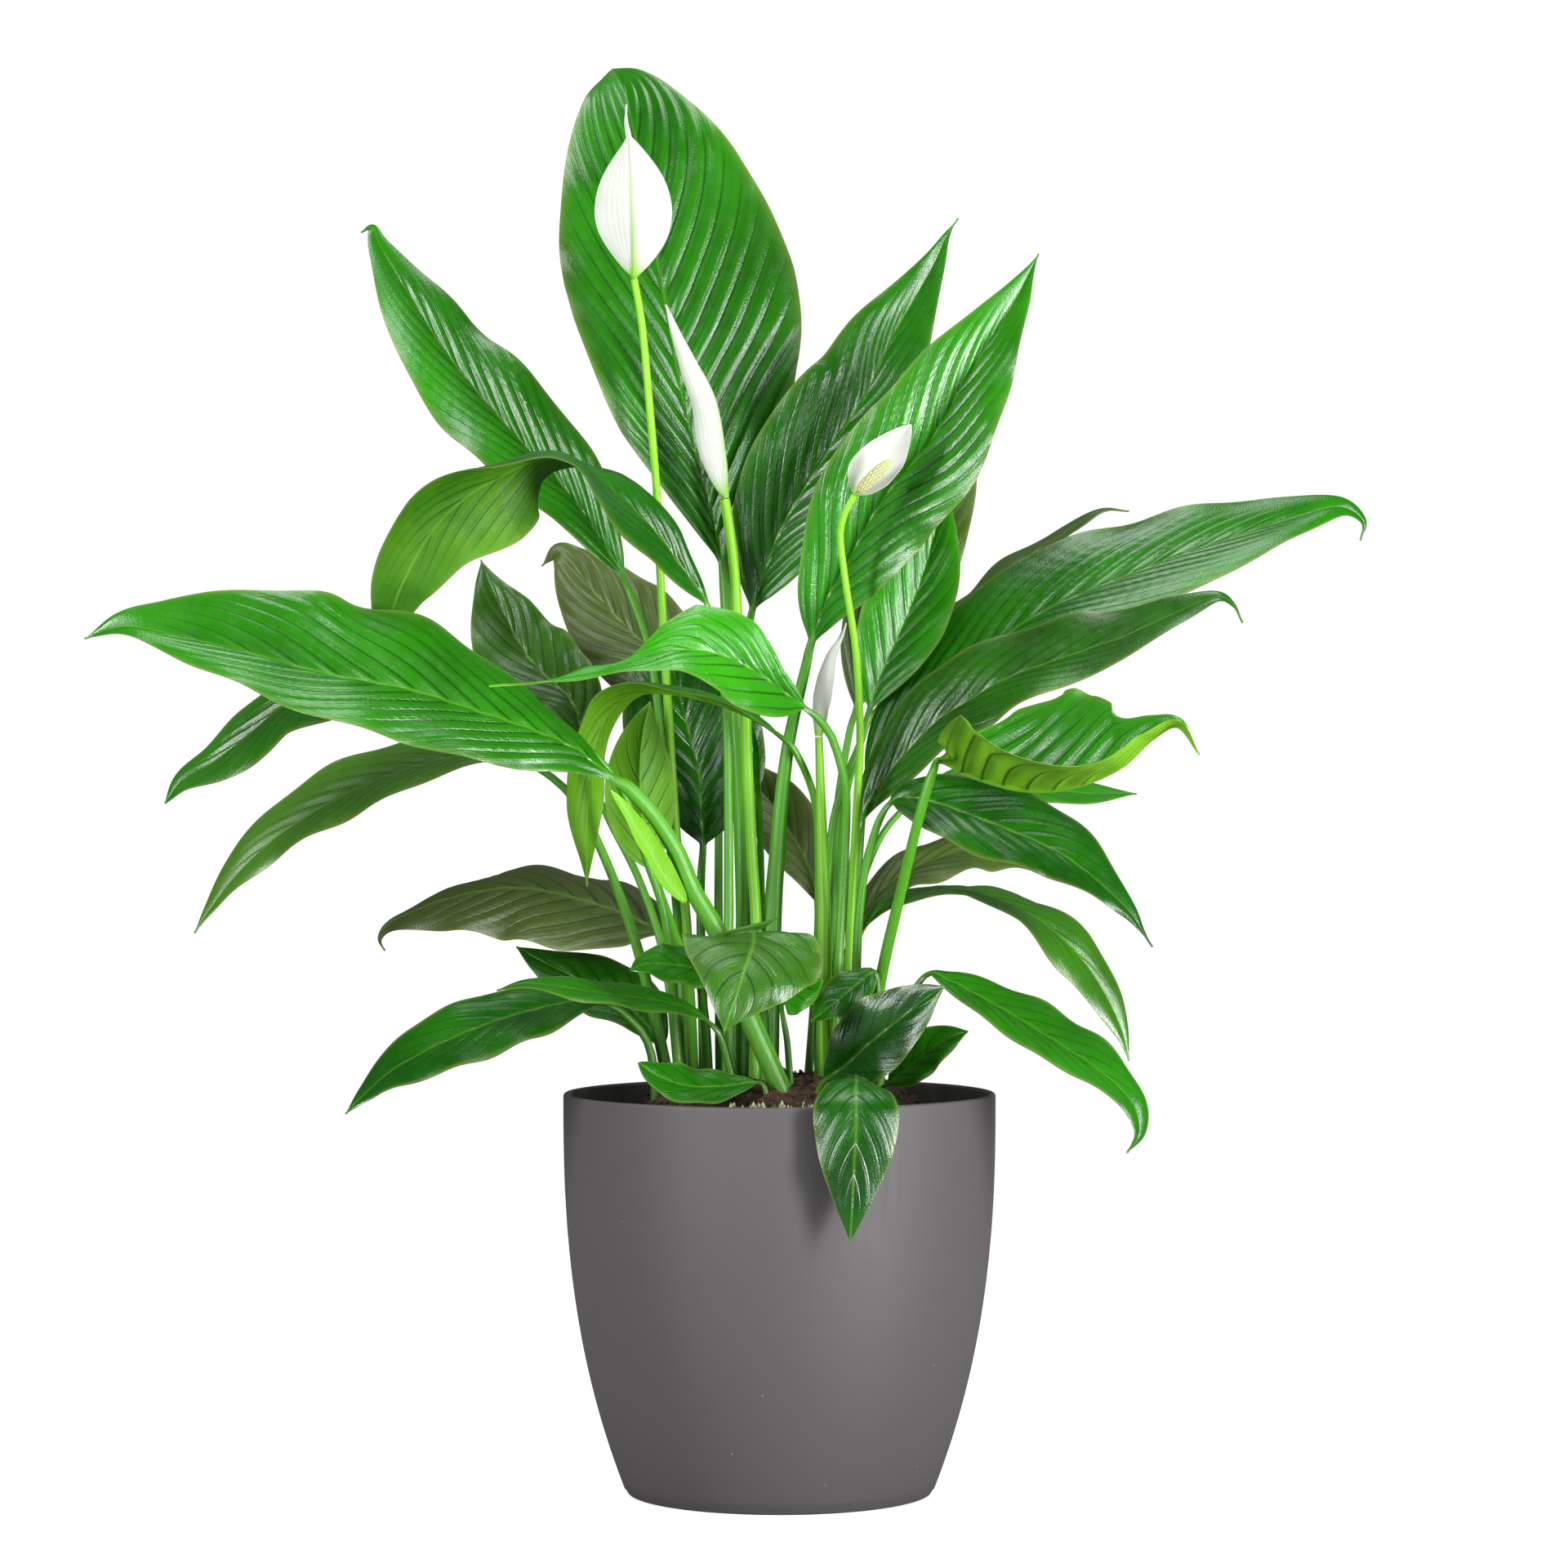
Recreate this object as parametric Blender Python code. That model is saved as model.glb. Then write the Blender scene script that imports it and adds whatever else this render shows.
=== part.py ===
"""A potted peace lily: a tapering pot, its soil, leaves on long stalks and four blooms.

Metres, +Z up. The origin is the middle of the pot's flat base, and -Y faces the viewer.
Every leaf is one closed skin: a round stalk that opens into a thin folded blade.
"""

import math

import bmesh
import bpy
import numpy as np
from mathutils import Vector

MM = 0.001

# Driving sizes of the pot, in millimetres
POT_HEIGHT = 203.0
POT_RIM_RADIUS = 110.0
POT_FOOT_RADIUS = 78.0
POT_TAPER = 2.54  # the wall leaves the vertical with this power of the depth below the rim
POT_WALL = 3.0
POT_FLOOR = 4.0
POT_FOOT_ROUND = 1.6
POT_SIDES = 48

# The soil, in millimetres
SOIL_GAP = 0.3
SOIL_DROP = 22.0  # how far below the rim the soil lies at the wall
SOIL_MOUND = 29.0  # how far the crown's mound stands above that
MOUND_FLAT = 46.0
MOUND_EDGE = 98.0
SOIL_SIDES = 32
HOLE_GAP = 0.35  # between a stem and the hole it stands in
HOLE_CLEAR = 5.0  # how far a hole's cutter must reach above the soil

# The leaves, in millimetres
STEM_DEPTH = 11.0  # how far a stalk goes down into the soil
BLADE_THICK = 0.7
RIB_THICK = 1.0  # what the midrib adds under the blade
STALK_SIDES = 6
HALF_STEPS = (0.0, 0.52, 1.0)  # places across each half of a blade
STALK_STEP = 38.0
BLADE_STEP = 17.0
TIP_WIDTH = 0.45
TAIL_SHARE = 0.07  # of the half width, where a blade's tail starts

# The eye from which the side view below was drawn, in millimetres
EYE_DISTANCE = 2300.0
EYE_HEIGHT = 360.0
EYE_X = 2.3

# Each leaf: its stalk's and its midrib's route as (x, depth, z) on the side view, with the
# blade's full width, its turn from base to tip, its fold at the rib (left, right), how much
# each half arches over, its wave (height, count) and the stalk's radii from foot to top.
# Turn 0 shows the upper face, and 180 the under face. A fold may be a list, from base to tip,
# and sides holds the share of the width that each half has where they differ. The ends are the
# powers with which the outline rises and falls, and a third number says where a thin tail starts.
LEAVES = {
    "leaf_01_top": dict(
        stalk=[(-17, 5, 196), (-17, 5, 283), (-19, 6, 345), (-22, 7, 393), (-26, 9, 443)],
        rib=[(-29, 11, 472), (-39, 16, 514), (-50, 24, 560), (-56, 34, 595), (-63, 47, 630),
             (-71, 64, 676), (-76, 78, 702), (-80, 90, 715), (-85, 103, 724)],
        width=134, turn=(-14, -14, -14, -10, -4), fold=(26, 18), arch=18,
        sides=((0.44, 0.76, 0.9, 0.87, 0.88), (1, 1, 1.04, 1, 0.86)), wave=(1.6, 5),
        stalk_radius=(5.6, 5.4, 4.6, 3.2), ends=(0.78, 0.86)),
    "leaf_02_upper_left": dict(
        stalk=[(-47, 36, 196), (-51, 39, 283), (-57, 24, 343), (-62, 22, 398), (-66, 28, 427),
               (-71, 29, 443)],
        rib=[(-79, 31, 464), (-89, 34, 481), (-106, 42, 506), (-127, 50, 529), (-152, 60, 557),
             (-175, 70, 587), (-202, 84, 631), (-207, 90, 643), (-213, 95, 641)],
        width=66, turn=(-38, -38, -34, -30, -25), fold=(20, (56, 40, 22, 20)), arch=22,
        sides=(1.13, 0.86), wave=(1.5, 4), stalk_radius=(3.2, 1.8), ends=(0.95, 1.2)),
    "leaf_03_arching": dict(
        stalk=[(-27, -8, 196), (-26, -8, 283), (-26, -9, 343), (-27, -11, 393), (-31, -14, 427)],
        rib=[(-36, -18, 450), (-52, -28, 473), (-64, -36, 489), (-89, -48, 513), (-106, -56, 525),
             (-122, -62, 526), (-140, -67, 518), (-160, -70, 506), (-177, -70, 489),
             (-191, -66, 464), (-198, -60, 446), (-205, -54, 420)],
        width=73, turn=(-46, -50, -56, -66, -80, -95, -110, -128, -140, -146, -150),
        fold=((16, 16, 10, 0, -4, 6, 22, 28), (16, 16, 0, -30, -48, -30, 0, 8)), arch=26,
        sides=(1, (0.7, 0.8, 0.95, 1, 1, 1)), wave=(1.5, 4), stalk_radius=(3.0, 1.9),
        ends=(0.95, 1.15)),
    "leaf_04_back_left": dict(
        stalk=[(-50, 8, 196), (-58, 12, 268), (-71, 22, 310), (-87, 38, 342), (-96, 52, 364)],
        rib=[(-100, 66, 383), (-106, 80, 402), (-120, 96, 416), (-131, 108, 429),
             (-141, 118, 448), (-148, 124, 463), (-152, 130, 474)],
        width=64, turn=(-30, -26, -20, -16), fold=(20, 20), sides=(1, 0.76), arch=22, wave=(1.4, 4),
        stalk_radius=(2.6, 1.6), ends=(0.9, 1.2)),
    "leaf_05_back_brown": dict(
        stalk=[(-30, 42, 196), (-31, 50, 283), (-31, 66, 343), (-32, 84, 380)],
        rib=[(-37, 98, 398), (-48, 110, 414), (-64, 126, 427), (-81, 142, 443), (-97, 156, 461),
             (-106, 166, 473), (-113, 172, 478), (-121, 178, 471)],
        width=78, turn=(-20, -20, -18, -16), fold=(18, 18), arch=24,
        sides=(0.88, (0.66, 0.7, 0.85, 0.95)), wave=(1.6, 4), stalk_radius=(2.8, 1.8), ends=(0.8, 1.3)),
    "leaf_06_long_left": dict(
        stalk=[(5, -50, 196), (-21, -52, 254), (-31, -54, 283), (-44, -56, 306), (-52, -58, 325),
               (-64, -61, 344), (-77, -65, 358)],
        rib=[(-85, -68, 363), (-104, -74, 378), (-127, -82, 388), (-148, -88, 395),
             (-189, -98, 408), (-231, -108, 416), (-272, -114, 427), (-314, -118, 437),
             (-335, -118, 440), (-354, -114, 434)],
        width=86, turn=(-35, -38, -42, -44, -44), fold=(14, (-36, -12, 6, 24, 38, 40)), arch=22,
        sides=(0.86, (1, 1.05, 1.12, 1.15, 1.2)), wave=(1.8, 5), stalk_radius=(5.2, 5.0, 3.6),
        ends=(0.85, 1.2)),
    "leaf_07_far_left": dict(
        stalk=[(-50, -24, 196), (-57, -26, 283), (-68, -30, 322), (-82, -38, 360),
               (-106, -49, 385)],
        rib=[(-131, -52, 396), (-164, -53, 403), (-197, -52, 408), (-231, -52, 406),
             (-252, -50, 400), (-268, -48, 387), (-287, -46, 372), (-304, -46, 362),
             (-313, -46, 350)],
        width=46, turn=(-70, -64, -56, -50, -48), fold=(10, 16), sides=(1.25, 0.8), arch=22,
        wave=(1.2, 4), stalk_radius=(2.6, 1.6), ends=(1.1, 0.9)),
    "leaf_08_lower_left": dict(
        stalk=[(-54, -12, 196), (-64, -12, 243), (-75, -10, 285), (-91, -4, 327), (-106, 2, 354)],
        rib=[(-127, 8, 370), (-152, 12, 375), (-181, 14, 370), (-218, 14, 356), (-253, 12, 335),
             (-276, 10, 314), (-290, 8, 296), (-298, 7, 284)],
        width=47, turn=(-66, -60, -54, -50, -48), fold=(10, 16), sides=(0.95, 1.1), arch=24,
        wave=(1.3, 4), stalk_radius=(3.4, 1.9), ends=(0.95, 1.2)),
    "leaf_09_brown_left": dict(
        stalk=[(-36, 15, 196), (-38, 16, 240), (-43, 20, 268), (-53, 30, 279)],
        rib=[(-60, 36, 284), (-70, 43, 290), (-97, 56, 300), (-131, 70, 307), (-164, 82, 303),
             (-189, 90, 294), (-200, 94, 288), (-204, 96, 281), (-201, 97, 275)],
        width=58, turn=(-64, -68, -70, -66), fold=(-30, 4), arch=20,
        sides=(1.15, (1.6, 1.25, 0.95, 0.7)), wave=(1.4, 4), stalk_radius=(2.8, 1.8),
        ends=(0.72, 1.3)),
    "leaf_10_dark_left": dict(
        stalk=[(-56, 4, 196), (-58, 6, 212)],
        rib=[(-60, 9, 225), (-66, 15, 235), (-81, 28, 249), (-106, 44, 262), (-122, 52, 270),
             (-134, 58, 277)],
        width=46, turn=(-45, -48, -48), fold=(14, 14), arch=22, wave=(1.2, 3),
        stalk_radius=(2.4, 1.7), ends=(0.9, 1.1)),
    "leaf_11_slender": dict(
        stalk=[(-21, -38, 196), (-29, -42, 229)],
        rib=[(-36, -46, 239), (-44, -50, 244), (-60, -58, 249), (-97, -70, 254),
             (-127, -78, 258), (-144, -82, 255)],
        width=30, turn=(-66, -70, -66), fold=(8, 8), arch=20, wave=(0.8, 3),
        stalk_radius=(2.6, 1.8), ends=(0.95, 1.15)),
    "leaf_12_low_left": dict(
        stalk=[(-62, -16, 196), (-66, -18, 225), (-77, -24, 241)],
        rib=[(-90, -32, 249), (-106, -40, 249), (-139, -56, 241), (-172, -70, 228),
             (-197, -80, 214), (-211, -86, 202), (-221, -90, 192)],
        width=41, turn=(-55, -52, -46, -44), fold=(12, 14), sides=(1.3, 1), arch=22,
        wave=(1.2, 4), stalk_radius=(2.6, 1.7), ends=(0.95, 1.15)),
    "leaf_13_rim_left": dict(
        stalk=[(-6, -58, 196), (-7, -59, 204)],
        rib=[(-11, -61, 208), (-28, -65, 206), (-46, -69, 206), (-62, -72, 211), (-72, -74, 218)],
        width=27, turn=(-52, -50, -46), fold=(10, 10), arch=20, wave=(0.9, 3),
        stalk_radius=(2.2, 1.6), ends=(0.9, 0.8)),
    "leaf_14_centre": dict(
        stalk=[(-7, -30, 196), (-8, -34, 240), (-11, -52, 276)],
        rib=[(-13, -66, 284), (-13, -78, 281), (-14, -90, 276), (-17, -102, 267),
             (-21, -111, 255), (-25, -115, 244), (-28, -116, 234)],
        width=72, turn=(0, 0, 0), fold=(-3, -3), arch=10, wave=(1.0, 3),
        stalk_radius=(3.0, 2.0), ends=(0.45, 1.1)),
    "leaf_15_bright_centre": dict(
        stalk=[(29, -32, 196), (29, -34, 250), (32, -37, 302), (34, -43, 344), (33, -49, 362),
               (27, -55, 383), (20, -59, 393)],
        rib=[(13, -63, 399), (2, -69, 407), (-12, -77, 417), (-31, -85, 426), (-52, -93, 428),
             (-73, -99, 422), (-98, -105, 416), (-122, -109, 412), (-148, -113, 410)],
        width=56, turn=(-44, -46, -52, -68, -76, -76), fold=(4, (52, 34, 22, 18)), arch=26,
        sides=((1, 1, 1, 0.95, 0.75, 0.6, 0.6, 0.7, 0.8),
               (0.4, 0.45, 0.8, 1.0, 0.5, 0.35, 0.4, 0.5, 0.6)),
        wave=(1.0, 4), stalk_radius=(2.8, 2.0), ends=(0.8, 1.9)),
    "leaf_16_hanging": dict(
        stalk=[(20, -12, 196), (20, -12, 260), (20, -12, 302), (20, -12, 322), (18, -13, 352),
               (9, -18, 375)],
        rib=[(0, -24, 385), (-14, -30, 394), (-31, -34, 401), (-52, -36, 406), (-73, -34, 406),
             (-87, -28, 397), (-95, -24, 377), (-98, -22, 348), (-98, -20, 322),
             (-98, -18, 308)],
        width=50, turn=(-78, -85, -95, -110, -130, -135), fold=(12, 12), arch=22,
        wave=(1.0, 3), stalk_radius=(2.6, 1.8), ends=(0.95, 1.2)),
    "leaf_17_under": dict(
        stalk=[(-43, 0, 196), (-46, 0, 260), (-53, -1, 283), (-61, -2, 306)],
        rib=[(-64, -3, 316), (-69, -4, 334), (-71, -5, 356), (-71, -4, 374), (-69, -2, 390),
             (-66, 0, 402)],
        width=37, turn=(172, 178, 182), fold=(16, 16), arch=20, wave=(0.8, 3),
        stalk_radius=(2.8, 1.8), ends=(0.8, 1.0)),
    "leaf_18_dark_centre": dict(
        stalk=[(-38, 34, 196), (-40, 36, 283), (-40, 38, 310)],
        rib=[(-39, 41, 329), (-40, 44, 348), (-41, 49, 366), (-46, 56, 385), (-51, 66, 406),
             (-56, 80, 425), (-59, 94, 439)],
        width=78, turn=(-16, -14, -10), fold=(26, 24), arch=22, wave=(1.4, 4),
        stalk_radius=(3.0, 2.0), ends=(0.85, 1.1)),
    "leaf_19_upper_right": dict(
        stalk=[(-23, 20, 196), (-20, 20, 283), (-18, 18, 343), (-17, 14, 393), (-16, 8, 431)],
        rib=[(-14, 4, 448), (-8, 0, 468), (2, -4, 493), (23, -6, 527), (44, -2, 558),
             (56, 2, 585), (77, 12, 622), (85, 18, 639), (91, 24, 648)],
        width=71, turn=(4, 6, 8, 8), fold=(22, 22), arch=20, wave=(1.6, 5),
        stalk_radius=(3.0, 2.0), ends=(1.0, 1.6)),
    "leaf_20_right_front": dict(
        stalk=[(-6, -4, 196), (-4, -6, 283), (-1, -8, 327), (1, -10, 352), (4, -13, 377),
               (8, -16, 397), (13, -20, 418)],
        rib=[(16, -23, 431), (23, -27, 452), (34, -31, 472), (52, -37, 504), (77, -42, 535),
             (94, -44, 564), (117, -42, 601), (125, -40, 616), (132, -38, 630)],
        width=72, turn=(10, 13, 15, 15), fold=(30, 34), arch=20,
        sides=(0.97, (1, 1.1, 1.18, 1.1, 0.9)), wave=(1.6, 5),
        stalk_radius=(5.4, 4.6, 2.4), ends=(0.95, 1.25)),
    "leaf_21_glossy_right": dict(
        stalk=[(25, 4, 196), (23, 6, 283), (25, 8, 318), (28, 9, 344), (35, 10, 366),
               (42, 10, 383)],
        rib=[(46, 10, 398), (52, 12, 416), (64, 16, 443), (73, 20, 466), (79, 24, 487),
             (85, 28, 511)],
        width=48, turn=(14, 12, 10), fold=(24, 24), arch=22, wave=(1.0, 4),
        stalk_radius=(2.6, 1.8), ends=(0.9, 1.1)),
    "leaf_22_back_right": dict(
        stalk=[(26, 26, 196), (27, 26, 283), (29, 26, 343), (35, 28, 383)],
        rib=[(39, 30, 398), (47, 34, 426), (61, 40, 458), (75, 46, 489), (88, 52, 512),
             (100, 58, 535)],
        width=52, turn=(8, 8, 8), fold=(20, 20), arch=22, wave=(1.2, 4),
        stalk_radius=(2.6, 1.8), ends=(0.9, 1.0)),
    "leaf_23_long_right": dict(
        stalk=[(36, 8, 196), (38, 8, 283), (40, 8, 323)],
        rib=[(44, 7, 360), (56, 5, 385), (77, 4, 407), (98, 7, 423), (135, 13, 448),
             (185, 22, 469), (227, 32, 484), (260, 40, 495), (285, 46, 501), (297, 50, 494),
             (296, 52, 484)],
        width=72, turn=(46, 44, 42, 42, 40), fold=(16, 16), arch=22, wave=(1.5, 5),
        stalk_radius=(3.4, 2.4), ends=(0.95, 1.2)),
    "leaf_24_narrow_right": dict(
        stalk=[(38, 28, 196), (30, 37, 283), (32, 47, 343), (41, 58, 380)],
        rib=[(49, 64, 398), (73, 76, 427), (98, 86, 449), (112, 92, 463), (128, 98, 475),
             (148, 104, 489), (164, 108, 499), (178, 110, 499)],
        width=40, turn=(68, 70, 70), fold=(12, 12), arch=20, wave=(1.2, 4),
        stalk_radius=(2.6, 1.7), ends=(0.9, 1.2)),
    "leaf_25_right_middle": dict(
        stalk=[(36, -14, 196), (36, -14, 283), (37, -16, 314)],
        rib=[(41, -19, 339), (50, -23, 358), (77, -29, 389), (96, -33, 402), (119, -37, 415),
             (173, -45, 434), (202, -49, 447), (222, -51, 455), (231, -52, 451),
             (236, -52, 442)],
        width=60, turn=(48, 50, 50, 48), fold=(16, 16), arch=22, wave=(1.5, 4),
        stalk_radius=(3.2, 2.2), ends=(0.95, 1.35)),
    "leaf_26_light_folded": dict(
        stalk=[(44, -26, 196), (49, -36, 244), (53, -45, 268), (61, -59, 302), (71, -77, 343),
               (78, -81, 366)],
        rib=[(82, -85, 372), (98, -92, 364), (123, -112, 357), (148, -130, 358),
             (173, -146, 368), (190, -156, 383), (203, -164, 389), (214, -170, 375)],
        width=114, turn=(72, 72, 76, 80), arch=6,
        fold=((50, 50, 36, 26, 20), (20, 34, 50, 48, 44, 40, 40, 40, 40)),
        sides=((1, 1, 1, 1.05, 1.05, 0.6, 0.3), (1, 1, 0.85, 0.6, 0.5)), wave=(1.0, 4),
        stalk_radius=(3.4, 2.4), ends=(0.62, 1.2)),
    "leaf_27_right_low": dict(
        stalk=[(38, -30, 196), (39, -32, 260), (41, -34, 298), (46, -38, 327)],
        rib=[(56, -44, 350), (73, -52, 352), (110, -64, 339), (140, -72, 326), (160, -78, 312),
             (177, -82, 296), (184, -84, 286), (190, -86, 277)],
        width=59, turn=(50, 48, 44, 42), fold=(14, 14), arch=24, wave=(1.4, 4),
        stalk_radius=(2.8, 1.9), ends=(0.85, 1.55)),
    "leaf_28_far_right": dict(
        stalk=[(30, 42, 196), (36, 58, 283), (50, 74, 330)],
        rib=[(70, 88, 352), (95, 100, 360), (125, 110, 359), (155, 118, 355), (182, 124, 355)],
        width=36, turn=(60, 58, 56), fold=(12, 12), arch=20, wave=(1.0, 3),
        stalk_radius=(2.4, 1.6), ends=(0.9, 1.1)),
    "leaf_29_brown_right": dict(
        stalk=[(34, 16, 196), (33, 19, 260)],
        rib=[(36, 24, 281), (46, 32, 298), (60, 44, 312), (81, 58, 322), (102, 72, 326),
             (127, 86, 322), (144, 96, 312)],
        width=42, turn=(56, 56, 54), fold=(12, 12), sides=(0.75, 1.1), arch=22, wave=(1.2, 4),
        stalk_radius=(2.4, 1.7), ends=(0.9, 1.1)),
    "leaf_30_twisted_right": dict(
        stalk=[(46, -2, 196), (40, -3, 239), (37, -5, 268)],
        rib=[(41, -7, 284), (52, -9, 297), (65, -11, 302), (87, -13, 305), (110, -15, 301),
             (131, -17, 291), (150, -18, 275), (164, -18, 256), (174, -18, 235),
             (178, -18, 219)],
        width=40, turn=(66, 76, 86, 70, 46, 38, 34), fold=(10, 10), arch=22,
        sides=(1, (1, 1, 1.1, 1.3, 1.3)), wave=(1.2, 4),
        stalk_radius=(2.8, 1.8), ends=(0.9, 1.15)),
    "leaf_31_low_right": dict(
        stalk=[(48, -34, 196), (54, -36, 223), (65, -39, 248)],
        rib=[(75, -43, 263), (86, -49, 260), (112, -60, 246), (140, -70, 229), (164, -78, 213),
             (179, -84, 198), (183, -87, 183), (177, -89, 172)],
        width=40, turn=(56, 54, 50, 46), fold=(14, 14), arch=22, wave=(1.2, 4),
        stalk_radius=(2.8, 1.8), ends=(0.9, 1.1)),
    "leaf_32_glossy_front": dict(
        stalk=[(18, -50, 196), (20, -53, 203)],
        rib=[(23, -57, 209), (34, -64, 217), (46, -72, 228), (61, -80, 240), (75, -86, 251),
             (84, -90, 257)],
        width=40, turn=(20, 22, 24), fold=(16, 16), arch=22, wave=(1.2, 3),
        stalk_radius=(2.6, 1.9), ends=(0.8, 1.0)),
    "leaf_33_behind_glossy": dict(
        stalk=[(48, -46, 196), (50, -48, 202)],
        rib=[(55, -52, 207), (65, -57, 215), (77, -62, 225), (88, -66, 231), (96, -68, 234)],
        width=26, turn=(38, 38, 36), fold=(12, 12), arch=20, wave=(0.8, 3),
        stalk_radius=(2.0, 1.5), ends=(0.85, 1.0)),
    "leaf_34_over_rim": dict(
        stalk=[(30, -58, 196), (34, -67, 203), (38, -80, 208)],
        rib=[(39, -92, 210), (39, -106, 206), (39, -117, 197), (39, -121, 183), (38, -122, 165),
             (37, -122, 144), (36, -121, 127)],
        width=42, turn=(0, 0, 0), fold=(-4, -4), arch=14, wave=(1.0, 3),
        stalk_radius=(2.6, 1.9), ends=(0.6, 1.1)),
    "leaf_35_small_dark": dict(
        stalk=[(32, -44, 196), (43, -46, 223), (50, -48, 250)],
        rib=[(49, -48, 264), (41, -52, 259), (29, -58, 249), (16, -64, 239)],
        width=24, turn=(-34, -34, -34), fold=(10, 10), arch=20, wave=(0.7, 3),
        stalk_radius=(2.2, 1.5), ends=(0.8, 1.0)),
    "leaf_36_bright_small": dict(
        stalk=[(6, -36, 196), (4, -40, 228)],
        rib=[(1, -44, 248), (7, -50, 253), (15, -55, 257), (22, -58, 260)],
        width=24, turn=(34, 32, 30), fold=(8, 8), arch=18, wave=(1.0, 2),
        stalk_radius=(2.0, 1.4), ends=(0.7, 0.8)),
    "leaf_37_small_left": dict(
        stalk=[(-26, -26, 196), (-26, -30, 235)],
        rib=[(-30, -36, 258), (-44, -42, 266), (-58, -46, 268), (-68, -48, 268), (-76, -50, 265)],
        width=30, turn=(-54, -50, -46), fold=(10, 10), arch=20, wave=(0.9, 3),
        stalk_radius=(2.2, 1.5), ends=(0.75, 0.9)),
    "leaf_38_brown_centre": dict(
        stalk=[(14, 36, 196), (18, 44, 260)],
        rib=[(19, 52, 300), (13, 60, 322), (0, 72, 344), (-12, 84, 360), (-22, 94, 374)],
        width=36, turn=(-8, -8, -8), fold=(20, 20), arch=20, wave=(1.0, 3),
        stalk_radius=(2.4, 1.6), ends=(0.85, 1.0)),
    "leaf_39_spear": dict(
        stalk=[(-9, 12, 196), (-9, 12, 283), (-10, 8, 343)],
        rib=[(-11, 5, 360), (-12, 3, 378), (-15, 1, 394)],
        width=5, turn=(0, 0, 0), fold=(50, 50), arch=0, wave=(0.0, 1),
        stalk_radius=(2.4, 1.6), ends=(0.5, 0.9)),
}

# Each bloom: its stalk's route, the white leaf (spathe) round its spike, and the spike (spadix),
# whose neck is the share of its length that is bare.
BLOOMS = {
    "bloom_1": dict(
        stalk=[(-46, 12, 196), (-47, 12, 283), (-52, 12, 327), (-55, 12, 368), (-57, 11, 402),
               (-61, 5, 472), (-62, -1, 500), (-64, -10, 527), (-66, -15, 550), (-70, -18, 593),
               (-74, -20, 617)],
        stalk_radius=(2.6, 1.8),
        rib=[(-74, -20.7, 617.6), (-74, -24, 621), (-74, -28, 639), (-75, -30, 660),
             (-76, -29, 684), (-78, -27, 697), (-78, -25, 706)],
        width=41, turn=(180, 180, 180), fold=(14, 14), arch=-10, ends=(1.05, 1.14, 0.83),
        spike=[(-74, -19, 617.6), (-75, -13, 642), (-76, -9, 664)], spike_radius=4.2, neck=0.1),
    "bloom_2": dict(
        stalk=[(-13, -12, 196), (-12, -10, 283), (-14, -8, 322), (-16, -7, 360), (-18, -8, 406),
               (-21, -9, 435), (-23, -11, 468), (-26, -13, 493), (-28, -14, 505)],
        stalk_radius=(3.0, 2.6),
        rib=[(-27, -15, 505.6), (-28, -16, 526), (-33, -16, 555), (-44, -16, 577),
             (-51, -16, 590), (-58, -16, 604)],
        width=29, turn=(105, 105, 105), fold=((24, 60, 60, 60, 60), (24, 60, 60, 60, 60)),
        arch=-60, ends=(0.6, 1.1),
        spike=[(-29.4, -14.4, 505.4), (-29.6, -15, 514), (-31.8, -14.8, 520), (-34.5, -14.4, 530),
               (-38.4, -14.3, 546)], spike_radius=2.1, neck=0.34),
    "bloom_3": dict(
        stalk=[(33, -20, 196), (36, -24, 283), (39, -30, 343), (41, -38, 385), (39, -48, 426),
               (34, -58, 460), (31, -64, 485), (33, -68, 497), (38, -71, 507)],
        stalk_radius=(2.4, 1.6),
        rib=[(38.3, -70.4, 507.5), (41, -68.6, 511), (46, -67, 518), (54, -66, 526),
             (61, -67, 535), (67, -70, 543)],
        width=24, turn=(8, 8, 8), fold=(18, 18), arch=-14, ends=(0.55, 0.85),
        spike=[(38.2, -72.2, 507.4), (41, -75, 510), (48, -78, 517), (57, -79, 525)],
        spike_radius=3.0, neck=0.14),
    "bloom_4": dict(
        stalk=[(22, -26, 196), (23, -26, 283), (22, -25, 322), (21, -24, 352), (20, -24, 384)],
        stalk_radius=(4.4, 3.4, 1.9),
        bud=[(20, -24, 384.4), (22, -24, 406), (26, -24, 424), (31, -23, 434), (34, -22, 442)],
        bud_radius=4.6),
}
SPIKE_SIDES = 10
SPIKE_RINGS = 12
SPIKE_RELIEF = 0.16
NECK_RADIUS = 0.9
BUD_SIDES = 8
SEAT_GAP = 0.3  # between a stalk's flat top and the piece that sits on it

LEAF_COLOUR = (0.03, 0.19, 0.02)
STALK_COLOUR = (0.16, 0.42, 0.04)
SPATHE_COLOUR = (0.86, 0.88, 0.80)
SPIKE_COLOUR = (0.78, 0.74, 0.48)
POT_COLOUR = (0.12, 0.118, 0.12)
SOIL_COLOUR = (0.055, 0.03, 0.02)


def clear_scene():
    for thing in list(bpy.data.objects):
        bpy.data.objects.remove(thing, do_unlink=True)


def material(name, colour, roughness):
    made = bpy.data.materials.new(name)
    made.use_nodes = True
    shader = made.node_tree.nodes["Principled BSDF"]
    shader.inputs["Base Color"].default_value = (*colour, 1.0)
    shader.inputs["Roughness"].default_value = roughness
    return made


def seat(points):
    """Real places, in mm, of points drawn on the side view at a given depth."""
    points = np.array(points, float)
    nearer = (EYE_DISTANCE + points[:, 1]) / EYE_DISTANCE
    x = EYE_X + (points[:, 0] - EYE_X) * nearer
    z = EYE_HEIGHT + (points[:, 2] - EYE_HEIGHT) * nearer
    return np.column_stack([x, points[:, 1], z])


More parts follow.
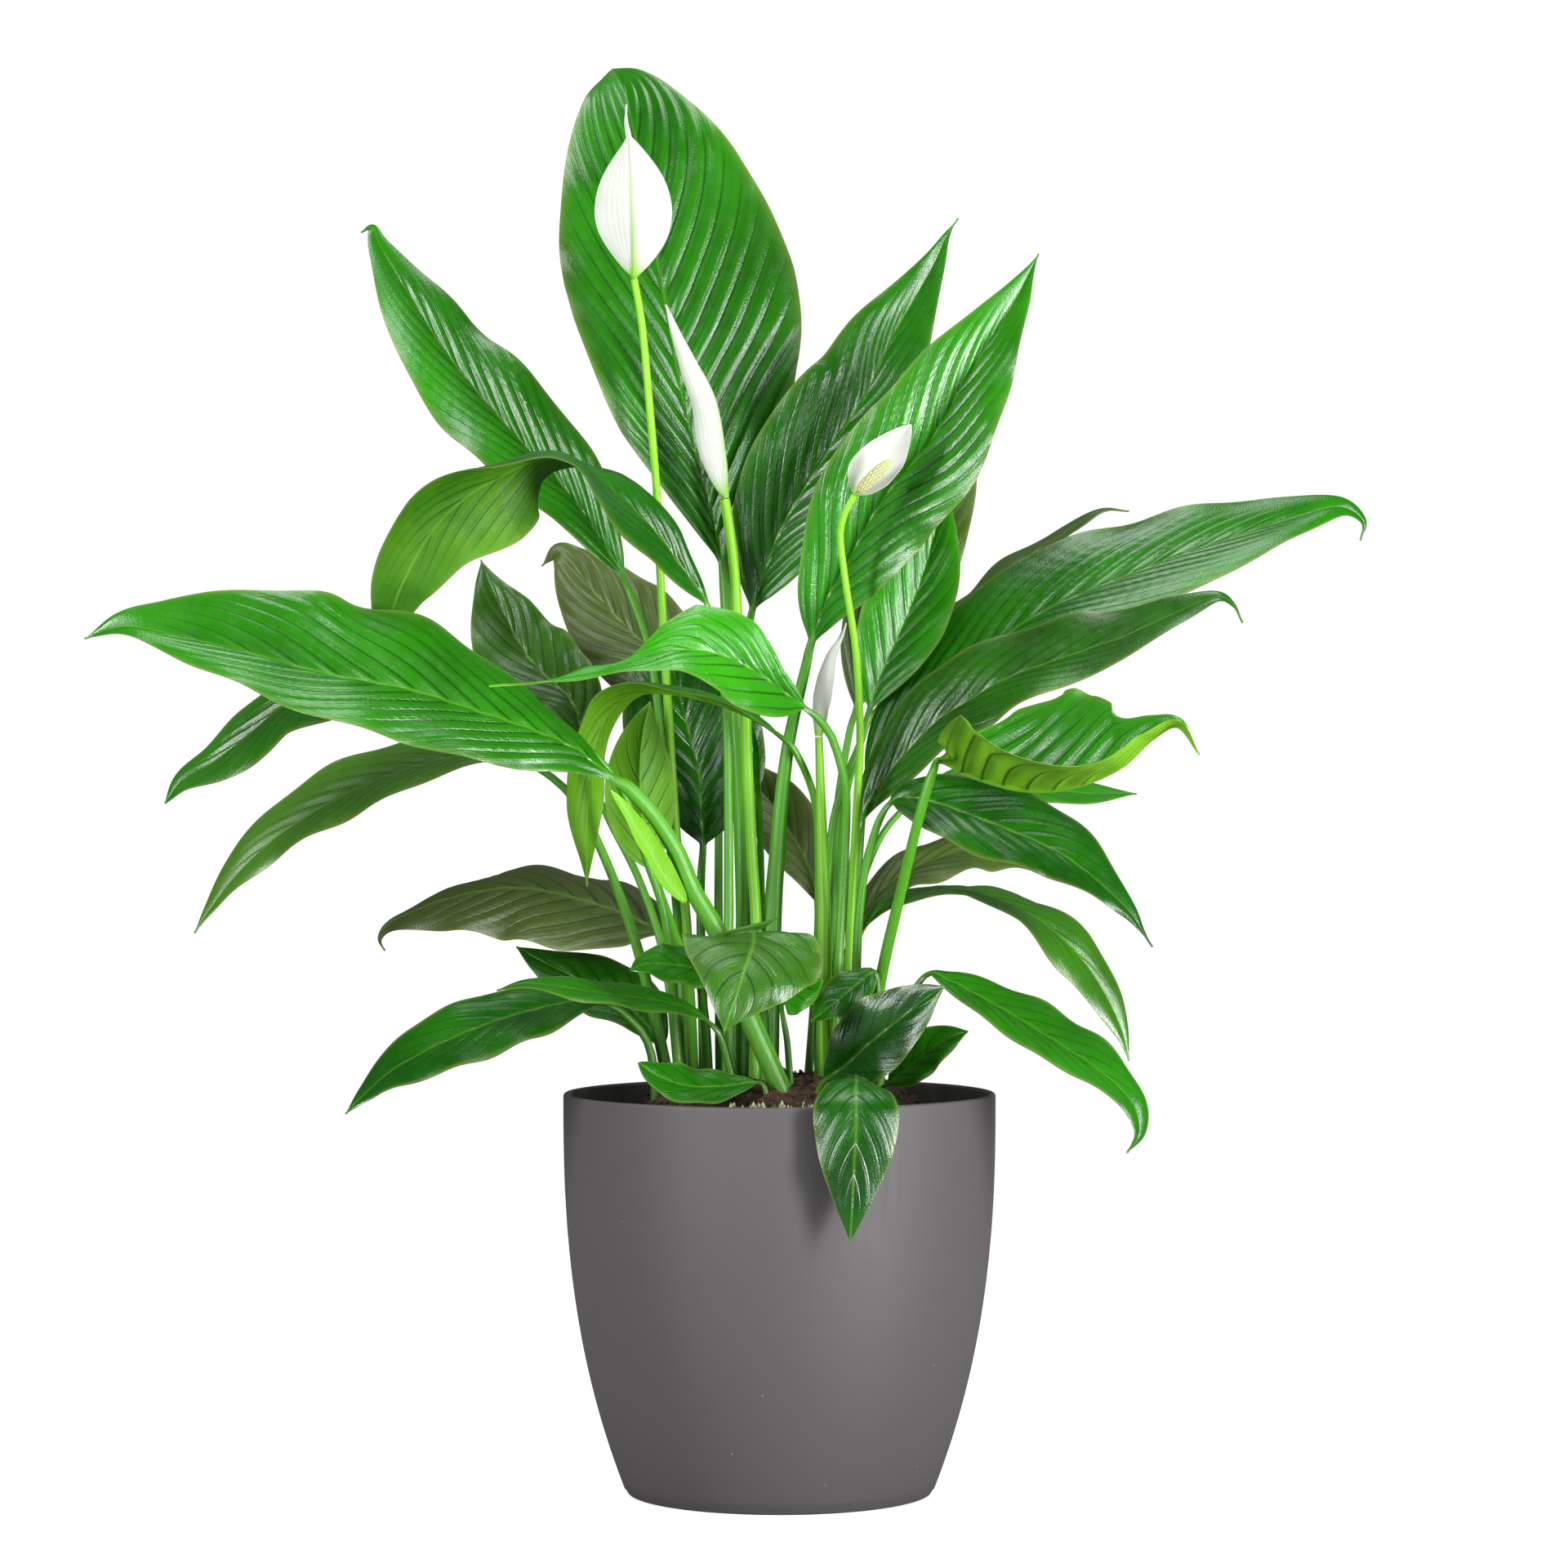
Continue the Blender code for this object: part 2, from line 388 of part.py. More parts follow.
def smooth_route(points, per_span=24):
    """A Catmull-Rom curve through the points, finely sampled, and each point's index on it."""
    ghost = np.vstack([2 * points[0] - points[1], points, 2 * points[-1] - points[-2]])
    u = np.linspace(0, 1, per_span, endpoint=False)[:, None]
    spans = []
    for a, b, c, d in zip(ghost[:-3], ghost[1:-2], ghost[2:-1], ghost[3:]):
        spans.append(0.5 * (2 * b + (c - a) * u + (2 * a - 5 * b + 4 * c - d) * u**2
                            + (3 * b - a - 3 * c + d) * u**3))
    return np.vstack(spans + [points[-1:]]), np.arange(len(points)) * per_span


def lengths_along(route):
    return np.concatenate([[0], np.cumsum(np.linalg.norm(np.diff(route, axis=0), axis=1))])


def at_lengths(route, along, wanted):
    return np.column_stack([np.interp(wanted, along, route[:, k]) for k in range(3)])


def unit(vectors):
    return vectors / np.linalg.norm(vectors, axis=-1, keepdims=True)


def frames(centres, turn):
    """The directions along, across and out of a strip whose route and turn are given."""
    along = unit(np.gradient(centres, axis=0))
    across = unit(np.cross(along, np.array([0.0, -1.0, 0.0])))
    outward = np.cross(across, along)
    angle = np.radians(turn)[:, None]
    side = across * np.cos(angle) + outward * np.sin(angle)
    normal = outward * np.cos(angle) - across * np.sin(angle)
    return along, side, normal


def blade_outline(t, ends):
    """Half width from 0 to 1: a power curve up from the base times one down to the tip.

    A third number is the share of the length where the blade ends and a thin tail goes on.
    """
    rise, fall = ends[:2]
    body = ends[2] if len(ends) > 2 else 1.0
    u = np.minimum(t / body, 1.0)
    widest = rise / (rise + fall)
    outline = (u / widest) ** rise * ((1 - u) / (1 - widest)) ** fall
    if body == 1.0:
        return outline
    return np.maximum(outline, TAIL_SHARE * np.minimum((1 - t) / (1 - body), 1))


def along_list(values, place):
    """A value that runs evenly through a list from 0 to 1, or stays the same if it's one number."""
    values = np.atleast_1d(values)
    return np.interp(place, np.linspace(0, 1, len(values)), values)


def half_offset(share, fold, arch):
    """Where a share of a half blade lies, across and out, when it arches along its width."""
    start = np.radians(fold + arch * 0.5)
    bend = np.radians(-arch * 1.6)
    if abs(bend) < 1e-6:
        return share * np.cos(start), share * np.sin(start)
    end = start + bend * share
    return (np.sin(end) - np.sin(start)) / bend, (np.cos(start) - np.cos(end)) / bend


def stalk_rings(centres, side, normal, radii):
    angle = np.linspace(0, 2 * np.pi, STALK_SIDES, endpoint=False) + np.pi
    return [c + r * (np.outer(np.cos(angle), s) - np.outer(np.sin(angle), n))
            for c, s, n, r in zip(centres, side, normal, radii)]


def blade_rings(centres, side, normal, t, leaf, half_width):
    """Each ring runs along the upper face from left to right, then back along the under face."""
    rings = []
    height, count = leaf.get("wave", (0.0, 1))
    for k, place in enumerate(t):
        upper, under = [], []
        for sign, folds in ((-1, leaf["fold"][0]), (1, leaf["fold"][1])):
            fold = along_list(folds, place)
            reach = half_width[k] * along_list(leaf.get("sides", (1, 1))[sign > 0], place)
            for share in HALF_STEPS:
                if share == 0.0 and sign < 0:
                    continue
                across, out = half_offset(share, fold, leaf["arch"])
                wave = height * share**2 * np.sin(2 * np.pi * (count * place + 0.25 * sign))
                wave *= np.sin(np.pi * place)
                middle = (centres[k] + side[k] * sign * across * reach
                          + normal[k] * (out * reach + wave))
                tilt = np.radians(fold + leaf["arch"] * (0.5 - 1.6 * share))
                skin = normal[k] * np.cos(tilt) - side[k] * sign * np.sin(tilt)
                if share == 0.0:
                    skin = normal[k]
                thick = BLADE_THICK / 2
                rib = RIB_THICK * (1 - 0.75 * place) if share == 0.0 else 0.0
                upper.append((sign * share, middle + skin * thick))
                under.append((sign * share, middle - skin * (thick + rib)))
        upper.sort(key=lambda pair: pair[0])
        under.sort(key=lambda pair: -pair[0])
        rings.append(np.array([point for _, point in upper + under]))
    return rings


def skin_between(first, second, start_a, start_b):
    """Triangles that join two rings, which may hold different numbers of points."""
    a, b = len(first), len(second)
    i = j = 0
    faces = []
    while i < a or j < b:
        if j == b or (i < a and (i + 1) / a <= (j + 1) / b):
            faces.append((start_a + i % a, start_b + j % b, start_a + (i + 1) % a))
            i += 1
        else:
            faces.append((start_a + i % a, start_b + j % b, start_b + (j + 1) % b))
            j += 1
    return faces


def skin_quads(count, start_a, start_b, split_left):
    """Two triangles a quad; a blade's two faces are split alike, mirrored down the ring."""
    faces = []
    for i in range(count):
        j = (i + 1) % count
        a, b, c, d = start_a + i, start_a + j, start_b + j, start_b + i
        if split_left(i):
            faces += [(a, d, b), (b, d, c)]
        else:
            faces += [(a, d, c), (a, c, b)]
    return faces


def closed_skin(rings):
    """One closed body from rings of points, with a fan of triangles at each end."""
    points, faces, starts = [], [], []
    for ring in rings:
        starts.append(len(points))
        points.extend(ring)
    for k in range(len(rings) - 1):
        a, b = rings[k], rings[k + 1]
        if len(a) == len(b):
            half = len(a) // 2
            faces += skin_quads(len(a), starts[k], starts[k + 1], lambda i: i < half)
        else:
            faces += skin_between(a, b, starts[k], starts[k + 1])
    faces += [(starts[0], starts[0] + i, starts[0] + i + 1) for i in range(1, len(rings[0]) - 1)]
    last = len(rings[-1])
    half = last // 2
    tip = starts[-1]
    if last == STALK_SIDES:
        faces += [(tip, tip + i + 1, tip + i) for i in range(1, last - 1)]
    else:
        for i in range(half - 1):
            low_a, low_b = last - 1 - i, last - 2 - i
            faces += [(tip + i, tip + low_a, tip + low_b), (tip + i, tip + low_b, tip + i + 1)]
    return np.array(points), faces


def add_object(name, points, faces, surface, smooth_angle=40.0):
    mesh = bpy.data.meshes.new(name)
    mesh.from_pydata([Vector(p) * MM for p in points], [], faces)
    mesh.validate()
    work = bmesh.new()
    work.from_mesh(mesh)
    bmesh.ops.recalc_face_normals(work, faces=work.faces)
    if work.calc_volume(signed=True) < 0:
        bmesh.ops.reverse_faces(work, faces=work.faces)
    work.to_mesh(mesh)
    work.free()
    mesh.shade_smooth()
    mesh.set_sharp_from_angle(angle=math.radians(smooth_angle))
    made = bpy.data.objects.new(name, mesh)
    if surface is not None:
        made.data.materials.append(surface)
    bpy.context.scene.collection.objects.link(made)
    return made


def foot_below(points, depth):
    """Moves a stalk's foot down its own line until it lies the given depth in the soil."""
    points = seat(points)
    surface = soil_height(np.hypot(points[0, 0], points[0, 1]))
    points[0, 2] = surface - depth
    return points


def leaf_rings(leaf):
    """The rings of one leaf, from the foot of its stalk to the tip of its blade."""
    stalk = foot_below(leaf["stalk"], STEM_DEPTH)
    rib = seat(leaf["rib"])
    route, marks = smooth_route(np.vstack([stalk, rib]))
    along = lengths_along(route)
    base = along[marks[len(stalk)]]
    total = along[-1]
    stalk_count = max(3, round(base / STALK_STEP))
    blade_count = max(5, round((total - base) / BLADE_STEP))
    t = np.linspace(0, 1, blade_count + 1)
    t = t + 0.06 * np.sin(2 * np.pi * t) / (2 * np.pi)
    stalk_at = np.linspace(0, base, stalk_count + 1)[:-1]
    blade_at = base + t * (total - base)
    fine = np.linspace(0, total, 241)
    fine_turn = along_list(leaf["turn"], (fine - base) / (total - base))
    _, side, normal = frames(at_lengths(route, along, fine), fine_turn)
    wanted = np.concatenate([stalk_at, blade_at])
    centres = at_lengths(route, along, wanted)
    side = unit(at_lengths(side, fine, wanted))
    normal = unit(at_lengths(normal, fine, wanted))
    n = len(stalk_at)
    radii = along_list(leaf["stalk_radius"], (np.append(stalk_at, base) / base) ** 0.8)
    half_width = np.maximum(leaf["width"] / 2 * blade_outline(t, leaf["ends"]), TIP_WIDTH)
    half_width[0] = max(half_width[0], radii[-1])
    rings = (stalk_rings(centres[:n], side[:n], normal[:n], radii[:n])
             + blade_rings(centres[n:], side[n:], normal[n:], t, leaf, half_width))
    return rings, (centres[:n + 1], side[:n + 1], normal[:n + 1], radii)


def make_leaf(name, leaf, surface):
    """Adds the leaf, and gives the course of its stalk, which the soil's hole follows."""
    rings, course = leaf_rings(leaf)
    add_object(name, *closed_skin(rings), surface)
    return course


def tube_course(points, radii, step):
    route, _ = smooth_route(points)
    along = lengths_along(route)
    count = max(3, round(along[-1] / step))
    wanted = np.linspace(0, along[-1], count + 1)
    centres = at_lengths(route, along, wanted)
    _, side, normal = frames(centres, np.zeros(count + 1))
    return centres, side, normal, along_list(radii, wanted / along[-1])


def tube_rings(course, sides):
    angle = np.linspace(0, 2 * np.pi, sides, endpoint=False)
    return [c + r * (np.outer(np.cos(angle), s) - np.outer(np.sin(angle), n))
            for c, s, n, r in zip(*course)]


def closed_tube(rings):
    points, faces = [], []
    sides = len(rings[0])
    for ring in rings:
        points.extend(ring)
    for k in range(len(rings) - 1):
        faces += skin_quads(sides, k * sides, (k + 1) * sides, lambda i: (i + k) % 2 == 0)
    faces += [(0, i, i + 1) for i in range(1, sides - 1)]
    tip = (len(rings) - 1) * sides
    faces += [(tip, tip + i + 1, tip + i) for i in range(1, sides - 1)]
    return np.array(points), faces


def make_stalk(name, bloom, surface):
    """Adds the bloom's stalk, and gives its course for the soil's hole."""
    course = tube_course(foot_below(bloom["stalk"], STEM_DEPTH), bloom["stalk_radius"], STALK_STEP)
    add_object(name, *closed_tube(stalk_rings(*course)), surface)
    return course


def seat_on_stalk(rings, course):
    """Moves the first ring along the stalk until it lies just above the stalk's flat top."""
    centres = course[0]
    along = unit(centres[-1] - centres[-2])
    above = (rings[0] - centres[-1]) @ along
    rings[0] = rings[0] + along * (SEAT_GAP - above.min())
    return rings


def make_spathe(name, bloom, course, surface):
    route, _ = smooth_route(seat(bloom["rib"]))
    along = lengths_along(route)
    count = max(6, round(along[-1] / (BLADE_STEP * 0.55)))
    t = np.linspace(0, 1, count + 1)
    centres = at_lengths(route, along, t * along[-1])
    _, side, normal = frames(centres, along_list(bloom["turn"], t))
    half_width = np.maximum(bloom["width"] / 2 * blade_outline(t, bloom["ends"]), TIP_WIDTH)
    half_width[0] = 1.2
    rings = blade_rings(centres, side, normal, t, bloom, half_width)
    return add_object(name, *closed_skin(seat_on_stalk(rings, course)), surface)


def make_spike(name, bloom, course, surface):
    """The spadix: a blunt rod on a thin neck, with knobs in a chequer, larger than life."""
    route, _ = smooth_route(seat(bloom["spike"]))
    along = lengths_along(route)
    neck = bloom["neck"]
    t = np.concatenate([[0], np.linspace(neck, 1, SPIKE_RINGS)])
    centres = at_lengths(route, along, t * along[-1])
    _, side, normal = frames(centres, np.zeros(SPIKE_RINGS + 1))
    angle = np.linspace(0, 2 * np.pi, SPIKE_SIDES, endpoint=False)
    rings = []
    for k, place in enumerate(t):
        rod = (place - neck) / (1 - neck)
        body = bloom["spike_radius"] * (1 - abs(2 * rod - 0.9) ** 4 * 0.45)
        knobs = 1 + SPIKE_RELIEF * np.where((np.arange(SPIKE_SIDES) + k) % 2, 1, -1)
        ring = body * (knobs if k < SPIKE_RINGS else np.full(SPIKE_SIDES, 0.5))
        if k < 2:
            ring = np.full(SPIKE_SIDES, NECK_RADIUS)
        rings.append(centres[k] + np.outer(ring * np.cos(angle), side[k])
                     - np.outer(ring * np.sin(angle), normal[k]))
    return add_object(name, *closed_tube(seat_on_stalk(rings, course)), surface)


def make_bud(name, bloom, course, surface):
    radii = [bloom["bud_radius"] * r for r in (0.42, 0.85, 1.0, 0.9, 0.6, 0.3, 0.12)]
    rings = tube_rings(tube_course(seat(bloom["bud"]), radii, 7.0), BUD_SIDES)
    return add_object(name, *closed_tube(seat_on_stalk(rings, course)), surface)


def wall_radius(z):
    depth = np.clip(1 - z / POT_HEIGHT, 0, 1)
    return POT_RIM_RADIUS - (POT_RIM_RADIUS - POT_FOOT_RADIUS) * depth**POT_TAPER


def soil_height(radius):
    """Flat under the crown, then down in a smooth step to the level at the wall."""
    share = np.clip((radius - MOUND_FLAT) / (MOUND_EDGE - MOUND_FLAT), 0, 1)
    step = share * share * (3 - 2 * share)
    return POT_HEIGHT - SOIL_DROP + SOIL_MOUND * (1 - step)


def turned(name, profile, sides, surface):
    """A solid of revolution from (radius, z) points, closed by a flat disc at each end."""
    angle = np.linspace(0, 2 * np.pi, sides, endpoint=False)
    points = [(radius * np.cos(a), radius * np.sin(a), z) for radius, z in profile for a in angle]
    last = (len(profile) - 1) * sides
    faces = [tuple(reversed(range(sides))), tuple(range(last, last + sides))]
    for k in range(len(profile) - 1):
        a, b = k * sides, (k + 1) * sides
        for i in range(sides):
            j = (i + 1) % sides
            faces.append((a + i, a + j, b + j, b + i))
    return add_object(name, points, faces, surface)


def pot_profile():
    foot = wall_radius(0)
    outer = [(foot - POT_FOOT_ROUND, 0.0), (foot - 0.3, POT_FOOT_ROUND * 0.5)]
    outer += [(wall_radius(z), z) for z in (4, 18, 36, 58, 84, 114, 150, POT_HEIGHT - 1.6)]
    lip = [(POT_RIM_RADIUS - 0.5, POT_HEIGHT - 0.4), (POT_RIM_RADIUS - 1.5, POT_HEIGHT),
           (POT_RIM_RADIUS - POT_WALL + 0.4, POT_HEIGHT - 0.5)]
    inner = [(wall_radius(z) - POT_WALL, z) for z in (POT_HEIGHT - 1.8, 150, 114, 84, 58, 36, 18)]
    inner.append((wall_radius(POT_FLOOR) - POT_WALL - 1, POT_FLOOR))
    return outer + lip + inner


def soil_profile():
    wall = POT_WALL + SOIL_GAP
    low = POT_FLOOR + SOIL_GAP
    side = [(wall_radius(low) - wall - 1, low)]
    side += [(wall_radius(z) - wall - 0.25, z) for z in (18, 36, 58, 84, 114, 150)]
    side.append((wall_radius(181) - wall - 0.25, soil_height(104)))
    top = [(r, soil_height(r)) for r in (92, 82, 72, 62, 54, 46)]
    return side + top


def hole_rings(centres, side, normal, radii):
    """Rings a little outside a stem's own, from under its foot to clear above the soil."""
    along = unit(np.diff(centres, axis=0))
    above = [z - soil_height(np.hypot(x, y)) for x, y, z in centres]
    picks = [k for k in range(len(centres)) if k == 0 or above[k - 1] < HOLE_CLEAR]
    places = [centres[k] for k in picks]
    places[0] = centres[0] - along[0] * HOLE_GAP
    if above[picks[-1]] < HOLE_CLEAR:
        places.append(places[-1] + along[-1] * 2 * HOLE_CLEAR)
        picks.append(picks[-1])
    wider = radii[picks] + HOLE_GAP / math.cos(math.pi / STALK_SIDES)
    return stalk_rings(places, side[picks], normal[picks], wider)


def cut_holes(soil, courses):
    """Bores a plain hole for every stem, a little wider and deeper than the stem."""
    cutters = bpy.data.collections.new("hole_cutters")
    bpy.context.scene.collection.children.link(cutters)
    for number, course in enumerate(courses):
        cutter = add_object(f"hole_cutter_{number}", *closed_tube(hole_rings(*course)), None)
        bpy.context.scene.collection.objects.unlink(cutter)
        cutters.objects.link(cutter)
    cut = soil.modifiers.new("stem holes", "BOOLEAN")
    cut.operation = "DIFFERENCE"
    cut.solver = "EXACT"
    cut.operand_type = "COLLECTION"
    cut.collection = cutters
    bpy.context.view_layer.update()
    evaluated = soil.evaluated_get(bpy.context.evaluated_depsgraph_get())
    bored = bpy.data.meshes.new_from_object(evaluated)
    soil.modifiers.remove(cut)
    soil.data = bored
    for cutter in list(cutters.objects):
        bpy.data.objects.remove(cutter, do_unlink=True)


def main():
    clear_scene()
    leaf_surface = material("leaf_green", LEAF_COLOUR, 0.3)
    stalk_surface = material("stalk_green", STALK_COLOUR, 0.4)
    spathe_surface = material("spathe_white", SPATHE_COLOUR, 0.5)
    spike_surface = material("spadix_cream", SPIKE_COLOUR, 0.7)
    pot_surface = material("pot_anthracite", POT_COLOUR, 0.6)
    soil_surface = material("soil_peat", SOIL_COLOUR, 0.95)
    turned("pot", pot_profile(), POT_SIDES, pot_surface)
    soil = turned("soil", soil_profile(), SOIL_SIDES, soil_surface)
    courses = [make_leaf(name, leaf, leaf_surface) for name, leaf in LEAVES.items()]
    stalks = {name: make_stalk(name + "_stalk", bloom, stalk_surface)
              for name, bloom in BLOOMS.items()}
    cut_holes(soil, courses + list(stalks.values()))
    for name, bloom in BLOOMS.items():
        if "bud" in bloom:
            make_bud(name + "_bud", bloom, stalks[name], spathe_surface)
            continue
        make_spathe(name + "_spathe", bloom, stalks[name], spathe_surface)
        make_spike(name + "_spadix", bloom, stalks[name], spike_surface)


main()
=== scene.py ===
# %% [markdown]
# # A potted peace lily
#
# The plant's plain solids come packed as a frame. This lesson puts a finer surface in the place
# of each, gives every surface the finish of the real thing, and lights the plant as a photo
# studio does. The plant's lengths are in millimetres until a mesh is built, while those of the
# lamps and inside the materials are in metres.

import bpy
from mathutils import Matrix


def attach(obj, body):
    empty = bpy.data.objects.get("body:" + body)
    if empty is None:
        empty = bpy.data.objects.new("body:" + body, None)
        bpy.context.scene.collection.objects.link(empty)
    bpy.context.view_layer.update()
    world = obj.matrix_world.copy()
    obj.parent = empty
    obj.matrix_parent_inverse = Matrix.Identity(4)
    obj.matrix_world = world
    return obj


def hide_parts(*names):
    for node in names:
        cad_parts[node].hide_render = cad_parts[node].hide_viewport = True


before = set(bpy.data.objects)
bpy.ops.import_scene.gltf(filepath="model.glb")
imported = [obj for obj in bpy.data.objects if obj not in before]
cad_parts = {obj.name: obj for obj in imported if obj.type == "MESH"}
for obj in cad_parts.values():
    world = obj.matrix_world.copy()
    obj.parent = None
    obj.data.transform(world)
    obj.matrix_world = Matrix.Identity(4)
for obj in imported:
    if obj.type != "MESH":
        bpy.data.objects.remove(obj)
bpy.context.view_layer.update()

# %% [markdown]
# ## Tools
#
# Small helpers carry the lesson. One turns a colour code into the linear values that a shader
# works with, and one adds a shader node with its settings and links. A few more name the steps
# that most materials take. The last ones put arrays of points and faces into a mesh, which is
# fast and says exactly where each point is.

# %% Colours and shader nodes
import math

import bpy
import numpy as np

MM = 0.001


def linear(code):
    """An sRGB hex colour as linear red, green, blue and alpha, by the sRGB curve."""
    channels = [int(code[i:i + 2], 16) / 255 for i in (1, 3, 5)]
    return (*[c / 12.92 if c <= 0.04045 else ((c + 0.055) / 1.055) ** 2.4 for c in channels], 1.0)


def add_node(tree, kind, inputs=(), **settings):
    """Adds a shader node, sets its own settings, and fills or links each input that is given."""
    made = tree.nodes.new("ShaderNode" + kind)
    for key, value in settings.items():
        setattr(made, key, value)
    for key, value in dict(inputs).items():
        if isinstance(value, bpy.types.NodeSocket):
            tree.links.new(value, made.inputs[key])
        else:
            made.inputs[key].default_value = value
    return made


def new_material(name):
    """A material with an empty node tree."""
    material = bpy.data.materials.new(name)
    material.use_nodes = True
    material.node_tree.nodes.clear()
    return material, material.node_tree


def mixed(tree, share, first, second):
    """first + share * (second - first), where each is a hex colour or a colour socket."""
    first, second = (linear(c) if isinstance(c, str) else c for c in (first, second))
    return add_node(tree, "Mix", {0: share, 6: first, 7: second}, data_type="RGBA").outputs[2]


def remapped(tree, value, low, high, to_low=0.0, to_high=1.0, **settings):
    """to_low + (to_high - to_low) * (value - low) / (high - low), held between the two ends."""
    inputs = {0: value, 1: low, 2: high, 3: to_low, 4: to_high}
    return add_node(tree, "MapRange", inputs, **settings).outputs[0]


def worked_out(tree, operation, *values, **settings):
    """The result of one sum on its values, in order, such as a * b + c for MULTIPLY_ADD."""
    return add_node(tree, "Math", dict(enumerate(values)), operation=operation, **settings).outputs[0]


def noise(tree, place, scale, detail, **inputs):
    """Cloudy noise between 0 and 1, with about as many clouds to a unit of place as scale says."""
    inputs = {"Vector": place, "Scale": scale, "Detail": detail, **inputs}
    return add_node(tree, "TexNoise", inputs).outputs[0]


def stretched(tree, place, scale):
    """Each coordinate of place times its own scale."""
    return add_node(tree, "Mapping", {"Vector": place, "Scale": scale}).outputs[0]


def bumped(tree, height, strength, distance, **settings):
    """The normal of a surface that rises by height * distance, in metres."""
    inputs = {"Height": height, "Strength": strength, "Distance": distance}
    return add_node(tree, "Bump", inputs, **settings).outputs[0]


def own_place(tree):
    """Each point's place in the object's own metres."""
    return add_node(tree, "TexCoord").outputs["Object"]


def mesh_mark(tree, name):
    """The value that the mesh carries under this name at each point."""
    return add_node(tree, "Attribute", attribute_name=name).outputs["Fac"]


def coated(material, tree, inputs):
    """Ends a material with one surface shader that has these inputs."""
    shader = add_node(tree, "BsdfPrincipled", inputs)
    add_node(tree, "OutputMaterial", {"Surface": shader.outputs[0]})
    return material


print("shader helpers ready")

# %% Meshes from arrays
# Degrees between two faces up to which their edge is shaded smooth
SMOOTH_UP_TO = 50.0
ALL_SMOOTH = 180


def signed_volume(points, faces):
    """Six times the enclosed volume: a . (b x c) summed over each face's fan of triangles."""
    total = 0.0
    for group in faces:
        corners = points[group]
        for k in range(1, group.shape[1] - 1):
            total += np.sum(corners[:, 0] * np.cross(corners[:, k], corners[:, k + 1]))
    return total


def build_piece(name, points, faces, finish, marks=(), sharp_angle=SMOOTH_UP_TO):
    """One mesh object from points in mm and groups of faces, turned outwards, on the frame."""
    if signed_volume(points, faces) < 0:
        faces = [group[:, ::-1] for group in faces]
    loops = np.concatenate([group.ravel() for group in faces])
    sizes = np.concatenate([np.full(len(group), group.shape[1]) for group in faces])
    mesh = bpy.data.meshes.new(name)
    mesh.vertices.add(len(points))
    mesh.vertices.foreach_set("co", (points * MM).ravel())
    mesh.loops.add(len(loops))
    mesh.loops.foreach_set("vertex_index", loops.astype(np.int32))
    mesh.polygons.add(len(sizes))
    mesh.polygons.foreach_set("loop_start", (np.cumsum(sizes) - sizes).astype(np.int32))
    mesh.polygons.foreach_set("use_smooth", np.ones(len(sizes), bool))
    mesh.update(calc_edges=True)
    mesh.validate()
    mesh.set_sharp_from_angle(angle=math.radians(sharp_angle))
    for mark, values in dict(marks).items():
        layer = mesh.attributes.new(mark, "FLOAT", "POINT")
        layer.data.foreach_set("value", np.broadcast_to(values, len(points)).astype(np.float32))
    mesh.materials.append(finish)
    piece = bpy.data.objects.new(name, mesh)
    bpy.context.scene.collection.objects.link(piece)
    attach(piece, "root")
    return piece


def ring_faces(count, sides):
    """Quads between each closed ring of points and the next, and one face over each end."""
    ring = np.arange(count - 1)[:, None] * sides
    here = np.arange(sides)[None, :]
    beside = (here + 1) % sides
    quads = np.stack([ring + here, ring + beside, ring + sides + beside, ring + sides + here], -1)
    first = np.arange(sides)[None, ::-1]
    last = np.arange(sides)[None, :] + (count - 1) * sides
    return [quads.reshape(-1, 4), first, last]


def build_rings(name, rings, finish, marks=(), sharp_angle=SMOOTH_UP_TO):
    """A piece from closed rings, each joined to the next, with both ends covered."""
    faces = ring_faces(*rings.shape[:2])
    marks = {mark: np.ravel(values) for mark, values in dict(marks).items()}
    return build_piece(name, rings.reshape(-1, 3), faces, finish, marks, sharp_angle)


def even_angles(sides):
    """The angles of a whole turn in equal steps."""
    return np.linspace(0, 2 * np.pi, sides, endpoint=False)


print("mesh helpers ready")

# %% [markdown]
# ## The camera
#
# A studio photographer stands well back with a long lens, so that near and far leaves keep
# their true proportions. The lens looks level across the plant from 2.3 m away. The height and
# distance follow from how open the pot's rim looks.

# %% Camera
IMAGE_PIXELS = 1920
FOCAL_PIXELS = 5530.0
SENSOR_WIDTH = 36.0
EYE_X = 2.3
EYE_DISTANCE = 2300.0
EYE_HEIGHT = 360.0

camera_data = bpy.data.cameras.new("studio_camera")
camera_data.sensor_width = SENSOR_WIDTH
camera_data.lens = SENSOR_WIDTH * FOCAL_PIXELS / IMAGE_PIXELS
camera = bpy.data.objects.new("studio_camera", camera_data)
camera.location = (EYE_X * MM, -EYE_DISTANCE * MM, EYE_HEIGHT * MM)
camera.rotation_euler = (math.radians(90), 0, 0)
bpy.context.scene.collection.objects.link(camera)
bpy.context.scene.camera = camera
print("lens", round(camera_data.lens, 1), "mm")

# %% [markdown]
# ## The light
#
# Waxy leaves show the lamps as streaks along their folds, so the lamps' size matters as much
# as their strength. Two tall, narrow soft boxes stand left and right of the camera, and a small
# one stands low on the right, where the steep flank of each ridge catches it. A weak one hangs
# above. Two narrow cards beside the camera are seen in the wax alone, as added streaks.
#
# Behind the plant and above it the room is white, which gives every edge a light rim. In front
# it is dark, and black flags keep most of the room out of the reflections, so that between the
# streaks the green stays deep. The camera itself sees the room as pure white.

# %% Soft boxes and the white room
PLANT_MIDDLE = (0, 0, 0.5)
